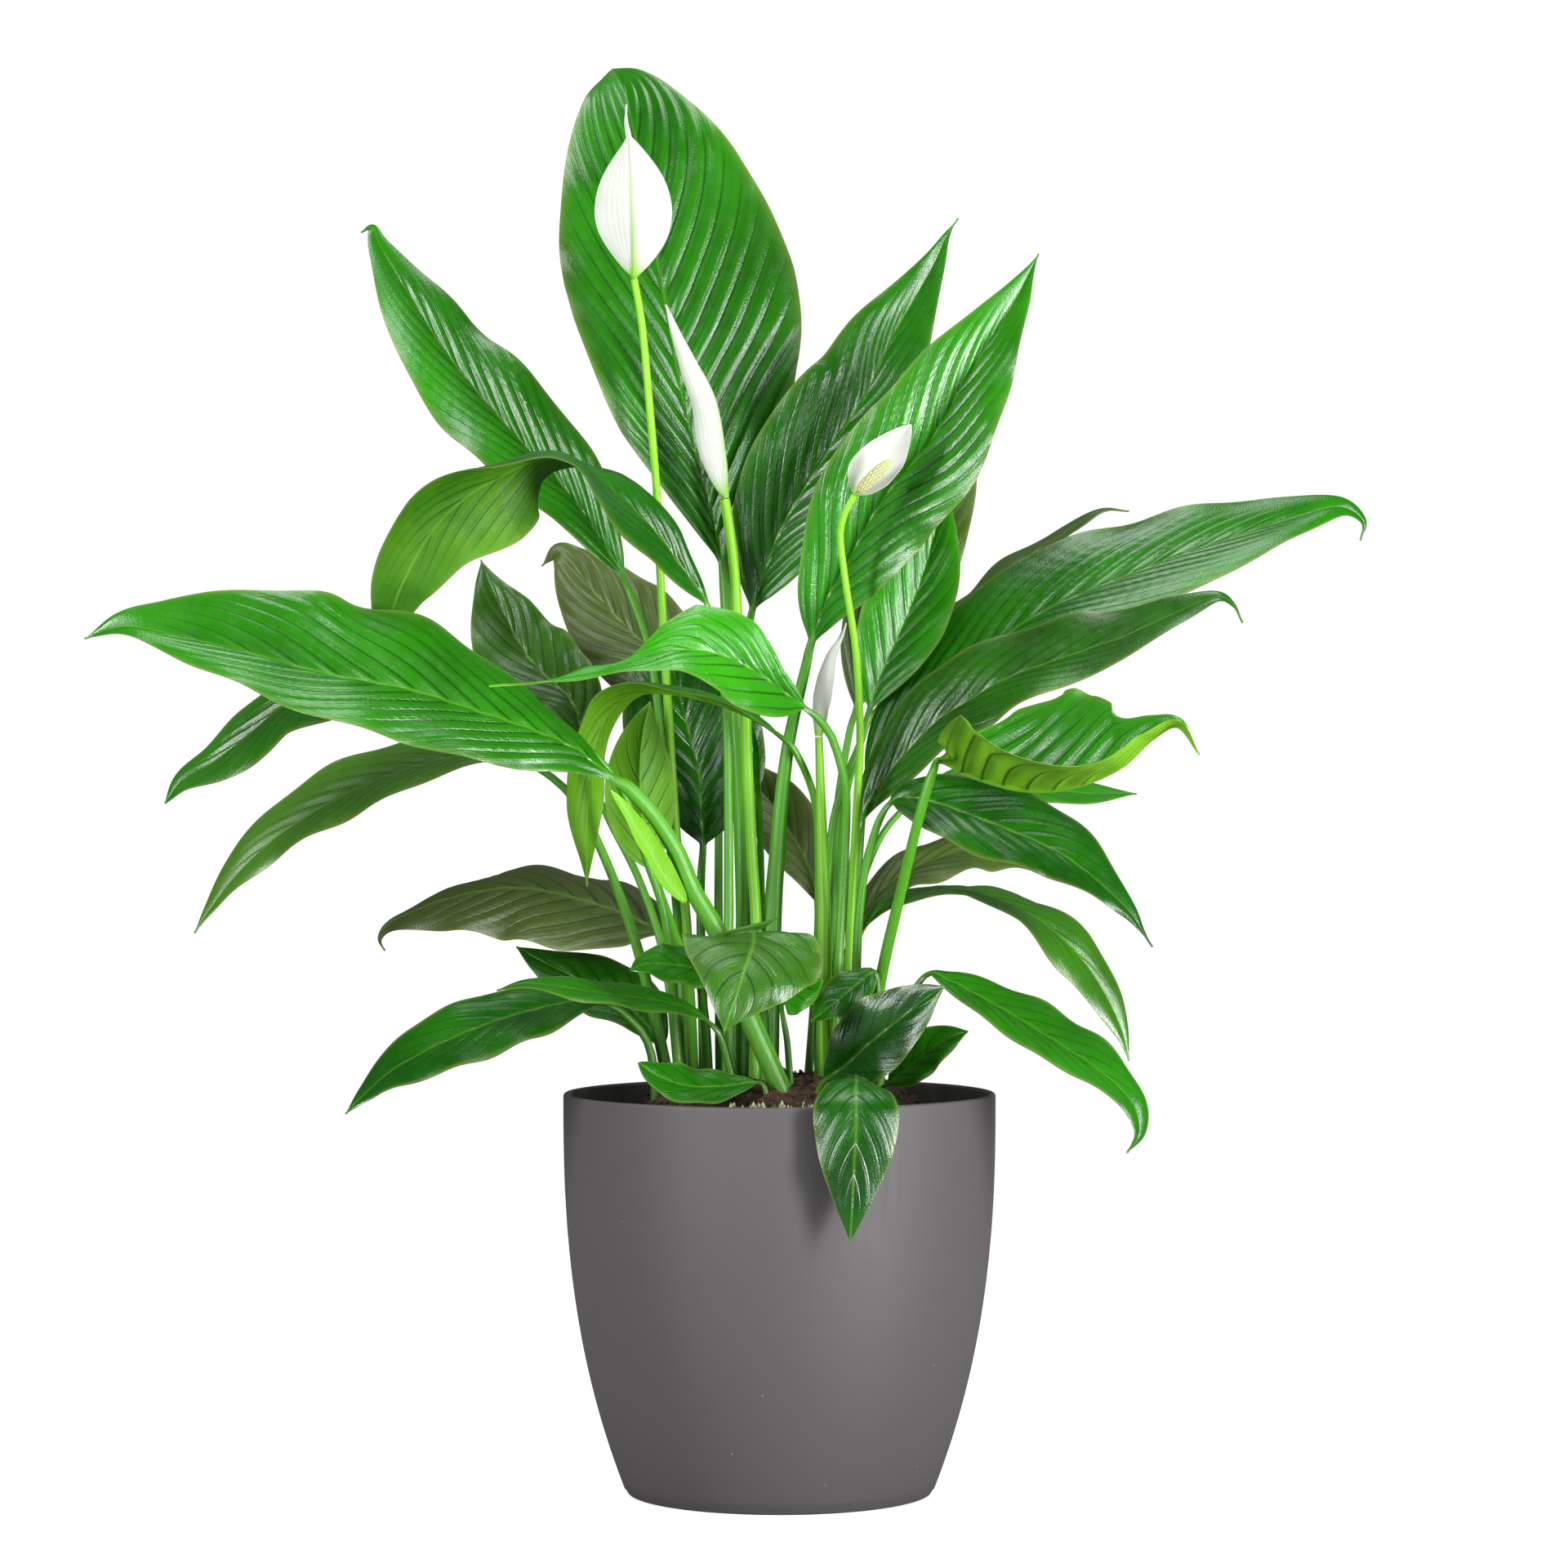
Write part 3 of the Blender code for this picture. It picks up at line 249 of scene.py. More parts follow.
# Each lamp: its name, place and target in metres, its width and height in metres, and its watts
LAMPS = (
    ("soft_box_left", (-1.55, -1.45, 0.95), PLANT_MIDDLE, 0.45, 1.4, 40),
    ("soft_box_right", (1.55, -1.3, 0.8), PLANT_MIDDLE, 0.45, 1.2, 34),
    ("soft_box_low", (1.35, -1.15, 0.05), PLANT_MIDDLE, 0.55, 0.5, 26),
    ("soft_box_top", (0.1, 0.0, 2.0), (0, 0, 0.42), 1.0, 0.6, 9),
    ("shine_card_left", (-1.0, -1.95, 0.75), PLANT_MIDDLE, 0.22, 1.3, 8),
    ("shine_card_right", (1.05, -1.95, 0.75), PLANT_MIDDLE, 0.22, 1.3, 8),
)
WHITE = linear("#FFFFFF")
FRONT_GLOW = 0.07
BACK_GLOW = 0.85
CEILING_GLOW = 0.6
WALL_GLOW = 1.05
UNFLAGGED_SHARE = 0.1


def soft_box(name, place, target, width, height, watts):
    """A rectangular area lamp at a place in metres, turned to face a target."""
    lamp = bpy.data.lights.new(name, "AREA")
    lamp.shape = "RECTANGLE"
    lamp.size = width
    lamp.size_y = height
    lamp.energy = watts
    made = bpy.data.objects.new(name, lamp)
    made.location = place
    aim = np.subtract(target, place)
    made.rotation_euler = (math.atan2(math.hypot(aim[0], aim[1]), -aim[2]), 0,
                           math.atan2(aim[1], aim[0]) - math.pi / 2)
    bpy.context.scene.collection.objects.link(made)
    return made


for lamp in LAMPS:
    made = soft_box(*lamp)
    made.visible_diffuse = not made.name.startswith("shine_card")

world = bpy.data.worlds.new("white_room")
world.use_nodes = True
room = world.node_tree
room.nodes.clear()
ray = add_node(room, "LightPath").outputs
heading = add_node(room, "SeparateXYZ", {0: add_node(room, "TexCoord").outputs["Generated"]}).outputs
behind = remapped(room, heading[1], 0.0, 0.9, FRONT_GLOW, BACK_GLOW)
above = remapped(room, heading[2], 0.0, 1.0, 0.0, CEILING_GLOW)
flagged = remapped(room, ray["Is Glossy Ray"], 0.0, 1.0, 1.0, UNFLAGGED_SHARE)
glow = worked_out(room, "MULTIPLY", worked_out(room, "ADD", behind, above), flagged)
fill = add_node(room, "Background", {"Color": WHITE, "Strength": glow})
wall = add_node(room, "Background", {"Color": WHITE, "Strength": WALL_GLOW})
both = add_node(room, "MixShader", {0: ray["Is Camera Ray"], 1: fill.outputs[0], 2: wall.outputs[0]})
add_node(room, "OutputWorld", {"Surface": both.outputs[0]})
bpy.context.scene.world = world
bpy.context.scene.view_settings.view_transform = "Standard"
print("lamps:", len(LAMPS))

# %% [markdown]
# ## The floor
#
# A round white table top stands in for the studio floor. It is a thin disc whose upper face is
# where the pot stands, and it isn't part of the object. The camera sees it white, while the
# light that it sends back up to the plant is that of a greyer sheet.

# %% Floor
FLOOR_RADIUS = 1300.0
FLOOR_THICK = 20.0
FLOOR_SIDES = 128


def white_table():
    """Matt white laminate: nothing shines, and its bounce light is kept low."""
    material, tree = new_material("white_laminate_table")
    seen = add_node(tree, "LightPath").outputs["Is Camera Ray"]
    white = add_node(tree, "BsdfPrincipled", {"Base Color": linear("#F7F7F7"), "Roughness": 0.9,
                                              "Emission Color": WHITE,
                                              "Emission Strength": 0.5})
    grey = add_node(tree, "BsdfDiffuse", {"Color": linear("#8C8C8C")})
    both = add_node(tree, "MixShader", {0: seen, 1: grey.outputs[0], 2: white.outputs[0]})
    add_node(tree, "OutputMaterial", {"Surface": both.outputs[0]})
    return material


angle = even_angles(FLOOR_SIDES)
disc = np.column_stack([np.cos(angle), np.sin(angle), np.zeros(FLOOR_SIDES)]) * FLOOR_RADIUS
low_disc = disc - [0, 0, FLOOR_THICK]
floor_mesh = bpy.data.meshes.new("table_top")
floor_mesh.from_pydata(np.vstack([low_disc, disc]) * MM, [],
                       [list(face) for group in ring_faces(2, FLOOR_SIDES) for face in group])
floor_mesh.materials.append(white_table())
floor = bpy.data.objects.new("table_top", floor_mesh)
bpy.context.scene.collection.objects.link(floor)
print("table top:", 2 * FLOOR_RADIUS, "mm wide")

# %% [markdown]
# ## How a leaf is described
#
# Each leaf is drawn as two routes on the view from the camera, each point with its depth: the
# stalk from the soil up, and the midrib from the blade's base to its tip. A blade then needs
# its width, how it turns about its midrib, how far its halves fold up and arch over, and how
# its edge waves. These are the same numbers as in the solid's source, so both keep one form.

# %% The leaves
LEAVES = {
    "leaf_01_top": dict(
        stalk=[(-17, 5, 196), (-17, 5, 283), (-19, 6, 345), (-22, 7, 393), (-26, 9, 443)],
        rib=[(-29, 11, 472), (-39, 16, 514), (-50, 24, 560), (-56, 34, 595), (-63, 47, 630),
             (-71, 64, 676), (-76, 78, 702), (-80, 90, 715), (-85, 103, 724)],
        width=134, turn=(-14, -14, -14, -10, -4), fold=(26, 18), arch=18,
        sides=((0.44, 0.76, 0.9, 0.87, 0.88), (1, 1, 1.04, 1, 0.86)), wave=(1.6, 5),
        stalk_radius=(5.6, 5.4, 4.6, 3.2), ends=(0.78, 0.86)),
    "leaf_02_upper_left": dict(
        stalk=[(-47, 36, 196), (-51, 39, 283), (-57, 24, 343), (-62, 22, 398), (-66, 28, 427),
               (-71, 29, 443)],
        rib=[(-79, 31, 464), (-89, 34, 481), (-106, 42, 506), (-127, 50, 529), (-152, 60, 557),
             (-175, 70, 587), (-202, 84, 631), (-207, 90, 643), (-213, 95, 641)],
        width=66, turn=(-38, -38, -34, -30, -25), fold=(20, (56, 40, 22, 20)), arch=22,
        sides=(1.13, 0.86), wave=(1.5, 4), stalk_radius=(3.2, 1.8), ends=(0.95, 1.2)),
    "leaf_03_arching": dict(
        stalk=[(-27, -8, 196), (-26, -8, 283), (-26, -9, 343), (-27, -11, 393), (-31, -14, 427)],
        rib=[(-36, -18, 450), (-52, -28, 473), (-64, -36, 489), (-89, -48, 513), (-106, -56, 525),
             (-122, -62, 526), (-140, -67, 518), (-160, -70, 506), (-177, -70, 489),
             (-191, -66, 464), (-198, -60, 446), (-205, -54, 420)],
        width=73, turn=(-46, -50, -56, -66, -80, -95, -110, -128, -140, -146, -150),
        fold=((16, 16, 10, 0, -4, 6, 22, 28), (16, 16, 0, -30, -48, -30, 0, 8)), arch=26,
        sides=(1, (0.7, 0.8, 0.95, 1, 1, 1)), wave=(1.5, 4), stalk_radius=(3.0, 1.9),
        ends=(0.95, 1.15)),
    "leaf_04_back_left": dict(
        stalk=[(-50, 8, 196), (-58, 12, 268), (-71, 22, 310), (-87, 38, 342), (-96, 52, 364)],
        rib=[(-100, 66, 383), (-106, 80, 402), (-120, 96, 416), (-131, 108, 429),
             (-141, 118, 448), (-148, 124, 463), (-152, 130, 474)],
        width=64, turn=(-30, -26, -20, -16), fold=(20, 20), sides=(1, 0.76), arch=22, wave=(1.4, 4),
        stalk_radius=(2.6, 1.6), ends=(0.9, 1.2)),
    "leaf_05_back_brown": dict(
        stalk=[(-30, 42, 196), (-31, 50, 283), (-31, 66, 343), (-32, 84, 380)],
        rib=[(-37, 98, 398), (-48, 110, 414), (-64, 126, 427), (-81, 142, 443), (-97, 156, 461),
             (-106, 166, 473), (-113, 172, 478), (-121, 178, 471)],
        width=78, turn=(-20, -20, -18, -16), fold=(18, 18), arch=24,
        sides=(0.88, (0.66, 0.7, 0.85, 0.95)), wave=(1.6, 4), stalk_radius=(2.8, 1.8), ends=(0.8, 1.3)),
    "leaf_06_long_left": dict(
        stalk=[(5, -50, 196), (-21, -52, 254), (-31, -54, 283), (-44, -56, 306), (-52, -58, 325),
               (-64, -61, 344), (-77, -65, 358)],
        rib=[(-85, -68, 363), (-104, -74, 378), (-127, -82, 388), (-148, -88, 395),
             (-189, -98, 408), (-231, -108, 416), (-272, -114, 427), (-314, -118, 437),
             (-335, -118, 440), (-354, -114, 434)],
        width=86, turn=(-35, -38, -42, -44, -44), fold=(14, (-36, -12, 6, 24, 38, 40)), arch=22,
        sides=(0.86, (1, 1.05, 1.12, 1.15, 1.2)), wave=(1.8, 5), stalk_radius=(5.2, 5.0, 3.6),
        ends=(0.85, 1.2)),
    "leaf_07_far_left": dict(
        stalk=[(-50, -24, 196), (-57, -26, 283), (-68, -30, 322), (-82, -38, 360),
               (-106, -49, 385)],
        rib=[(-131, -52, 396), (-164, -53, 403), (-197, -52, 408), (-231, -52, 406),
             (-252, -50, 400), (-268, -48, 387), (-287, -46, 372), (-304, -46, 362),
             (-313, -46, 350)],
        width=46, turn=(-70, -64, -56, -50, -48), fold=(10, 16), sides=(1.25, 0.8), arch=22,
        wave=(1.2, 4), stalk_radius=(2.6, 1.6), ends=(1.1, 0.9)),
    "leaf_08_lower_left": dict(
        stalk=[(-54, -12, 196), (-64, -12, 243), (-75, -10, 285), (-91, -4, 327), (-106, 2, 354)],
        rib=[(-127, 8, 370), (-152, 12, 375), (-181, 14, 370), (-218, 14, 356), (-253, 12, 335),
             (-276, 10, 314), (-290, 8, 296), (-298, 7, 284)],
        width=47, turn=(-66, -60, -54, -50, -48), fold=(10, 16), sides=(0.95, 1.1), arch=24,
        wave=(1.3, 4), stalk_radius=(3.4, 1.9), ends=(0.95, 1.2)),
    "leaf_09_brown_left": dict(
        stalk=[(-36, 15, 196), (-38, 16, 240), (-43, 20, 268), (-53, 30, 279)],
        rib=[(-60, 36, 284), (-70, 43, 290), (-97, 56, 300), (-131, 70, 307), (-164, 82, 303),
             (-189, 90, 294), (-200, 94, 288), (-204, 96, 281), (-201, 97, 275)],
        width=58, turn=(-64, -68, -70, -66), fold=(-30, 4), arch=20,
        sides=(1.15, (1.6, 1.25, 0.95, 0.7)), wave=(1.4, 4), stalk_radius=(2.8, 1.8),
        ends=(0.72, 1.3)),
    "leaf_10_dark_left": dict(
        stalk=[(-56, 4, 196), (-58, 6, 212)],
        rib=[(-60, 9, 225), (-66, 15, 235), (-81, 28, 249), (-106, 44, 262), (-122, 52, 270),
             (-134, 58, 277)],
        width=46, turn=(-45, -48, -48), fold=(14, 14), arch=22, wave=(1.2, 3),
        stalk_radius=(2.4, 1.7), ends=(0.9, 1.1)),
    "leaf_11_slender": dict(
        stalk=[(-21, -38, 196), (-29, -42, 229)],
        rib=[(-36, -46, 239), (-44, -50, 244), (-60, -58, 249), (-97, -70, 254),
             (-127, -78, 258), (-144, -82, 255)],
        width=30, turn=(-66, -70, -66), fold=(8, 8), arch=20, wave=(0.8, 3),
        stalk_radius=(2.6, 1.8), ends=(0.95, 1.15)),
    "leaf_12_low_left": dict(
        stalk=[(-62, -16, 196), (-66, -18, 225), (-77, -24, 241)],
        rib=[(-90, -32, 249), (-106, -40, 249), (-139, -56, 241), (-172, -70, 228),
             (-197, -80, 214), (-211, -86, 202), (-221, -90, 192)],
        width=41, turn=(-55, -52, -46, -44), fold=(12, 14), sides=(1.3, 1), arch=22,
        wave=(1.2, 4), stalk_radius=(2.6, 1.7), ends=(0.95, 1.15)),
    "leaf_13_rim_left": dict(
        stalk=[(-6, -58, 196), (-7, -59, 204)],
        rib=[(-11, -61, 208), (-28, -65, 206), (-46, -69, 206), (-62, -72, 211), (-72, -74, 218)],
        width=27, turn=(-52, -50, -46), fold=(10, 10), arch=20, wave=(0.9, 3),
        stalk_radius=(2.2, 1.6), ends=(0.9, 0.8)),
    "leaf_14_centre": dict(
        stalk=[(-7, -30, 196), (-8, -34, 240), (-11, -52, 276)],
        rib=[(-13, -66, 284), (-13, -78, 281), (-14, -90, 276), (-17, -102, 267),
             (-21, -111, 255), (-25, -115, 244), (-28, -116, 234)],
        width=72, turn=(0, 0, 0), fold=(-3, -3), arch=10, wave=(1.0, 3),
        stalk_radius=(3.0, 2.0), ends=(0.45, 1.1)),
    "leaf_15_bright_centre": dict(
        stalk=[(29, -32, 196), (29, -34, 250), (32, -37, 302), (34, -43, 344), (33, -49, 362),
               (27, -55, 383), (20, -59, 393)],
        rib=[(13, -63, 399), (2, -69, 407), (-12, -77, 417), (-31, -85, 426), (-52, -93, 428),
             (-73, -99, 422), (-98, -105, 416), (-122, -109, 412), (-148, -113, 410)],
        width=56, turn=(-44, -46, -52, -68, -76, -76), fold=(4, (52, 34, 22, 18)), arch=26,
        sides=((1, 1, 1, 0.95, 0.75, 0.6, 0.6, 0.7, 0.8),
               (0.4, 0.45, 0.8, 1.0, 0.5, 0.35, 0.4, 0.5, 0.6)),
        wave=(1.0, 4), stalk_radius=(2.8, 2.0), ends=(0.8, 1.9)),
    "leaf_16_hanging": dict(
        stalk=[(20, -12, 196), (20, -12, 260), (20, -12, 302), (20, -12, 322), (18, -13, 352),
               (9, -18, 375)],
        rib=[(0, -24, 385), (-14, -30, 394), (-31, -34, 401), (-52, -36, 406), (-73, -34, 406),
             (-87, -28, 397), (-95, -24, 377), (-98, -22, 348), (-98, -20, 322),
             (-98, -18, 308)],
        width=50, turn=(-78, -85, -95, -110, -130, -135), fold=(12, 12), arch=22,
        wave=(1.0, 3), stalk_radius=(2.6, 1.8), ends=(0.95, 1.2)),
    "leaf_17_under": dict(
        stalk=[(-43, 0, 196), (-46, 0, 260), (-53, -1, 283), (-61, -2, 306)],
        rib=[(-64, -3, 316), (-69, -4, 334), (-71, -5, 356), (-71, -4, 374), (-69, -2, 390),
             (-66, 0, 402)],
        width=37, turn=(172, 178, 182), fold=(16, 16), arch=20, wave=(0.8, 3),
        stalk_radius=(2.8, 1.8), ends=(0.8, 1.0)),
    "leaf_18_dark_centre": dict(
        stalk=[(-38, 34, 196), (-40, 36, 283), (-40, 38, 310)],
        rib=[(-39, 41, 329), (-40, 44, 348), (-41, 49, 366), (-46, 56, 385), (-51, 66, 406),
             (-56, 80, 425), (-59, 94, 439)],
        width=78, turn=(-16, -14, -10), fold=(26, 24), arch=22, wave=(1.4, 4),
        stalk_radius=(3.0, 2.0), ends=(0.85, 1.1)),
    "leaf_19_upper_right": dict(
        stalk=[(-23, 20, 196), (-20, 20, 283), (-18, 18, 343), (-17, 14, 393), (-16, 8, 431)],
        rib=[(-14, 4, 448), (-8, 0, 468), (2, -4, 493), (23, -6, 527), (44, -2, 558),
             (56, 2, 585), (77, 12, 622), (85, 18, 639), (91, 24, 648)],
        width=71, turn=(4, 6, 8, 8), fold=(22, 22), arch=20, wave=(1.6, 5),
        stalk_radius=(3.0, 2.0), ends=(1.0, 1.6)),
    "leaf_20_right_front": dict(
        stalk=[(-6, -4, 196), (-4, -6, 283), (-1, -8, 327), (1, -10, 352), (4, -13, 377),
               (8, -16, 397), (13, -20, 418)],
        rib=[(16, -23, 431), (23, -27, 452), (34, -31, 472), (52, -37, 504), (77, -42, 535),
             (94, -44, 564), (117, -42, 601), (125, -40, 616), (132, -38, 630)],
        width=72, turn=(10, 13, 15, 15), fold=(30, 34), arch=20,
        sides=(0.97, (1, 1.1, 1.18, 1.1, 0.9)), wave=(1.6, 5),
        stalk_radius=(5.4, 4.6, 2.4), ends=(0.95, 1.25)),
    "leaf_21_glossy_right": dict(
        stalk=[(25, 4, 196), (23, 6, 283), (25, 8, 318), (28, 9, 344), (35, 10, 366),
               (42, 10, 383)],
        rib=[(46, 10, 398), (52, 12, 416), (64, 16, 443), (73, 20, 466), (79, 24, 487),
             (85, 28, 511)],
        width=48, turn=(14, 12, 10), fold=(24, 24), arch=22, wave=(1.0, 4),
        stalk_radius=(2.6, 1.8), ends=(0.9, 1.1)),
    "leaf_22_back_right": dict(
        stalk=[(26, 26, 196), (27, 26, 283), (29, 26, 343), (35, 28, 383)],
        rib=[(39, 30, 398), (47, 34, 426), (61, 40, 458), (75, 46, 489), (88, 52, 512),
             (100, 58, 535)],
        width=52, turn=(8, 8, 8), fold=(20, 20), arch=22, wave=(1.2, 4),
        stalk_radius=(2.6, 1.8), ends=(0.9, 1.0)),
    "leaf_23_long_right": dict(
        stalk=[(36, 8, 196), (38, 8, 283), (40, 8, 323)],
        rib=[(44, 7, 360), (56, 5, 385), (77, 4, 407), (98, 7, 423), (135, 13, 448),
             (185, 22, 469), (227, 32, 484), (260, 40, 495), (285, 46, 501), (297, 50, 494),
             (296, 52, 484)],
        width=72, turn=(46, 44, 42, 42, 40), fold=(16, 16), arch=22, wave=(1.5, 5),
        stalk_radius=(3.4, 2.4), ends=(0.95, 1.2)),
    "leaf_24_narrow_right": dict(
        stalk=[(38, 28, 196), (30, 37, 283), (32, 47, 343), (41, 58, 380)],
        rib=[(49, 64, 398), (73, 76, 427), (98, 86, 449), (112, 92, 463), (128, 98, 475),
             (148, 104, 489), (164, 108, 499), (178, 110, 499)],
        width=40, turn=(68, 70, 70), fold=(12, 12), arch=20, wave=(1.2, 4),
        stalk_radius=(2.6, 1.7), ends=(0.9, 1.2)),
    "leaf_25_right_middle": dict(
        stalk=[(36, -14, 196), (36, -14, 283), (37, -16, 314)],
        rib=[(41, -19, 339), (50, -23, 358), (77, -29, 389), (96, -33, 402), (119, -37, 415),
             (173, -45, 434), (202, -49, 447), (222, -51, 455), (231, -52, 451),
             (236, -52, 442)],
        width=60, turn=(48, 50, 50, 48), fold=(16, 16), arch=22, wave=(1.5, 4),
        stalk_radius=(3.2, 2.2), ends=(0.95, 1.35)),
    "leaf_26_light_folded": dict(
        stalk=[(44, -26, 196), (49, -36, 244), (53, -45, 268), (61, -59, 302), (71, -77, 343),
               (78, -81, 366)],
        rib=[(82, -85, 372), (98, -92, 364), (123, -112, 357), (148, -130, 358),
             (173, -146, 368), (190, -156, 383), (203, -164, 389), (214, -170, 375)],
        width=114, turn=(72, 72, 76, 80), arch=6,
        fold=((50, 50, 36, 26, 20), (20, 34, 50, 48, 44, 40, 40, 40, 40)),
        sides=((1, 1, 1, 1.05, 1.05, 0.6, 0.3), (1, 1, 0.85, 0.6, 0.5)), wave=(1.0, 4),
        stalk_radius=(3.4, 2.4), ends=(0.62, 1.2)),
    "leaf_27_right_low": dict(
        stalk=[(38, -30, 196), (39, -32, 260), (41, -34, 298), (46, -38, 327)],
        rib=[(56, -44, 350), (73, -52, 352), (110, -64, 339), (140, -72, 326), (160, -78, 312),
             (177, -82, 296), (184, -84, 286), (190, -86, 277)],
        width=59, turn=(50, 48, 44, 42), fold=(14, 14), arch=24, wave=(1.4, 4),
        stalk_radius=(2.8, 1.9), ends=(0.85, 1.55)),
    "leaf_28_far_right": dict(
        stalk=[(30, 42, 196), (36, 58, 283), (50, 74, 330)],
        rib=[(70, 88, 352), (95, 100, 360), (125, 110, 359), (155, 118, 355), (182, 124, 355)],
        width=36, turn=(60, 58, 56), fold=(12, 12), arch=20, wave=(1.0, 3),
        stalk_radius=(2.4, 1.6), ends=(0.9, 1.1)),
    "leaf_29_brown_right": dict(
        stalk=[(34, 16, 196), (33, 19, 260)],
        rib=[(36, 24, 281), (46, 32, 298), (60, 44, 312), (81, 58, 322), (102, 72, 326),
             (127, 86, 322), (144, 96, 312)],
        width=42, turn=(56, 56, 54), fold=(12, 12), sides=(0.75, 1.1), arch=22, wave=(1.2, 4),
        stalk_radius=(2.4, 1.7), ends=(0.9, 1.1)),
    "leaf_30_twisted_right": dict(
        stalk=[(46, -2, 196), (40, -3, 239), (37, -5, 268)],
        rib=[(41, -7, 284), (52, -9, 297), (65, -11, 302), (87, -13, 305), (110, -15, 301),
             (131, -17, 291), (150, -18, 275), (164, -18, 256), (174, -18, 235),
             (178, -18, 219)],
        width=40, turn=(66, 76, 86, 70, 46, 38, 34), fold=(10, 10), arch=22,
        sides=(1, (1, 1, 1.1, 1.3, 1.3)), wave=(1.2, 4),
        stalk_radius=(2.8, 1.8), ends=(0.9, 1.15)),
    "leaf_31_low_right": dict(
        stalk=[(48, -34, 196), (54, -36, 223), (65, -39, 248)],
        rib=[(75, -43, 263), (86, -49, 260), (112, -60, 246), (140, -70, 229), (164, -78, 213),
             (179, -84, 198), (183, -87, 183), (177, -89, 172)],
        width=40, turn=(56, 54, 50, 46), fold=(14, 14), arch=22, wave=(1.2, 4),
        stalk_radius=(2.8, 1.8), ends=(0.9, 1.1)),
    "leaf_32_glossy_front": dict(
        stalk=[(18, -50, 196), (20, -53, 203)],
        rib=[(23, -57, 209), (34, -64, 217), (46, -72, 228), (61, -80, 240), (75, -86, 251),
             (84, -90, 257)],
        width=40, turn=(20, 22, 24), fold=(16, 16), arch=22, wave=(1.2, 3),
        stalk_radius=(2.6, 1.9), ends=(0.8, 1.0)),
    "leaf_33_behind_glossy": dict(
        stalk=[(48, -46, 196), (50, -48, 202)],
        rib=[(55, -52, 207), (65, -57, 215), (77, -62, 225), (88, -66, 231), (96, -68, 234)],
        width=26, turn=(38, 38, 36), fold=(12, 12), arch=20, wave=(0.8, 3),
        stalk_radius=(2.0, 1.5), ends=(0.85, 1.0)),
    "leaf_34_over_rim": dict(
        stalk=[(30, -58, 196), (34, -67, 203), (38, -80, 208)],
        rib=[(39, -92, 210), (39, -106, 206), (39, -117, 197), (39, -121, 183), (38, -122, 165),
             (37, -122, 144), (36, -121, 127)],
        width=42, turn=(0, 0, 0), fold=(-4, -4), arch=14, wave=(1.0, 3),
        stalk_radius=(2.6, 1.9), ends=(0.6, 1.1)),
    "leaf_35_small_dark": dict(
        stalk=[(32, -44, 196), (43, -46, 223), (50, -48, 250)],
        rib=[(49, -48, 264), (41, -52, 259), (29, -58, 249), (16, -64, 239)],
        width=24, turn=(-34, -34, -34), fold=(10, 10), arch=20, wave=(0.7, 3),
        stalk_radius=(2.2, 1.5), ends=(0.8, 1.0)),
    "leaf_36_bright_small": dict(
        stalk=[(6, -36, 196), (4, -40, 228)],
        rib=[(1, -44, 248), (7, -50, 253), (15, -55, 257), (22, -58, 260)],
        width=24, turn=(34, 32, 30), fold=(8, 8), arch=18, wave=(1.0, 2),
        stalk_radius=(2.0, 1.4), ends=(0.7, 0.8)),
    "leaf_37_small_left": dict(
        stalk=[(-26, -26, 196), (-26, -30, 235)],
        rib=[(-30, -36, 258), (-44, -42, 266), (-58, -46, 268), (-68, -48, 268), (-76, -50, 265)],
        width=30, turn=(-54, -50, -46), fold=(10, 10), arch=20, wave=(0.9, 3),
        stalk_radius=(2.2, 1.5), ends=(0.75, 0.9)),
    "leaf_38_brown_centre": dict(
        stalk=[(14, 36, 196), (18, 44, 260)],
        rib=[(19, 52, 300), (13, 60, 322), (0, 72, 344), (-12, 84, 360), (-22, 94, 374)],
        width=36, turn=(-8, -8, -8), fold=(20, 20), arch=20, wave=(1.0, 3),
        stalk_radius=(2.4, 1.6), ends=(0.85, 1.0)),
    "leaf_39_spear": dict(
        stalk=[(-9, 12, 196), (-9, 12, 283), (-10, 8, 343)],
        rib=[(-11, 5, 360), (-12, 3, 378), (-15, 1, 394)],
        width=5, turn=(0, 0, 0), fold=(50, 50), arch=0, wave=(0.0, 1),
        stalk_radius=(2.4, 1.6), ends=(0.5, 0.9)),
}
print("leaves described:", len(LEAVES))

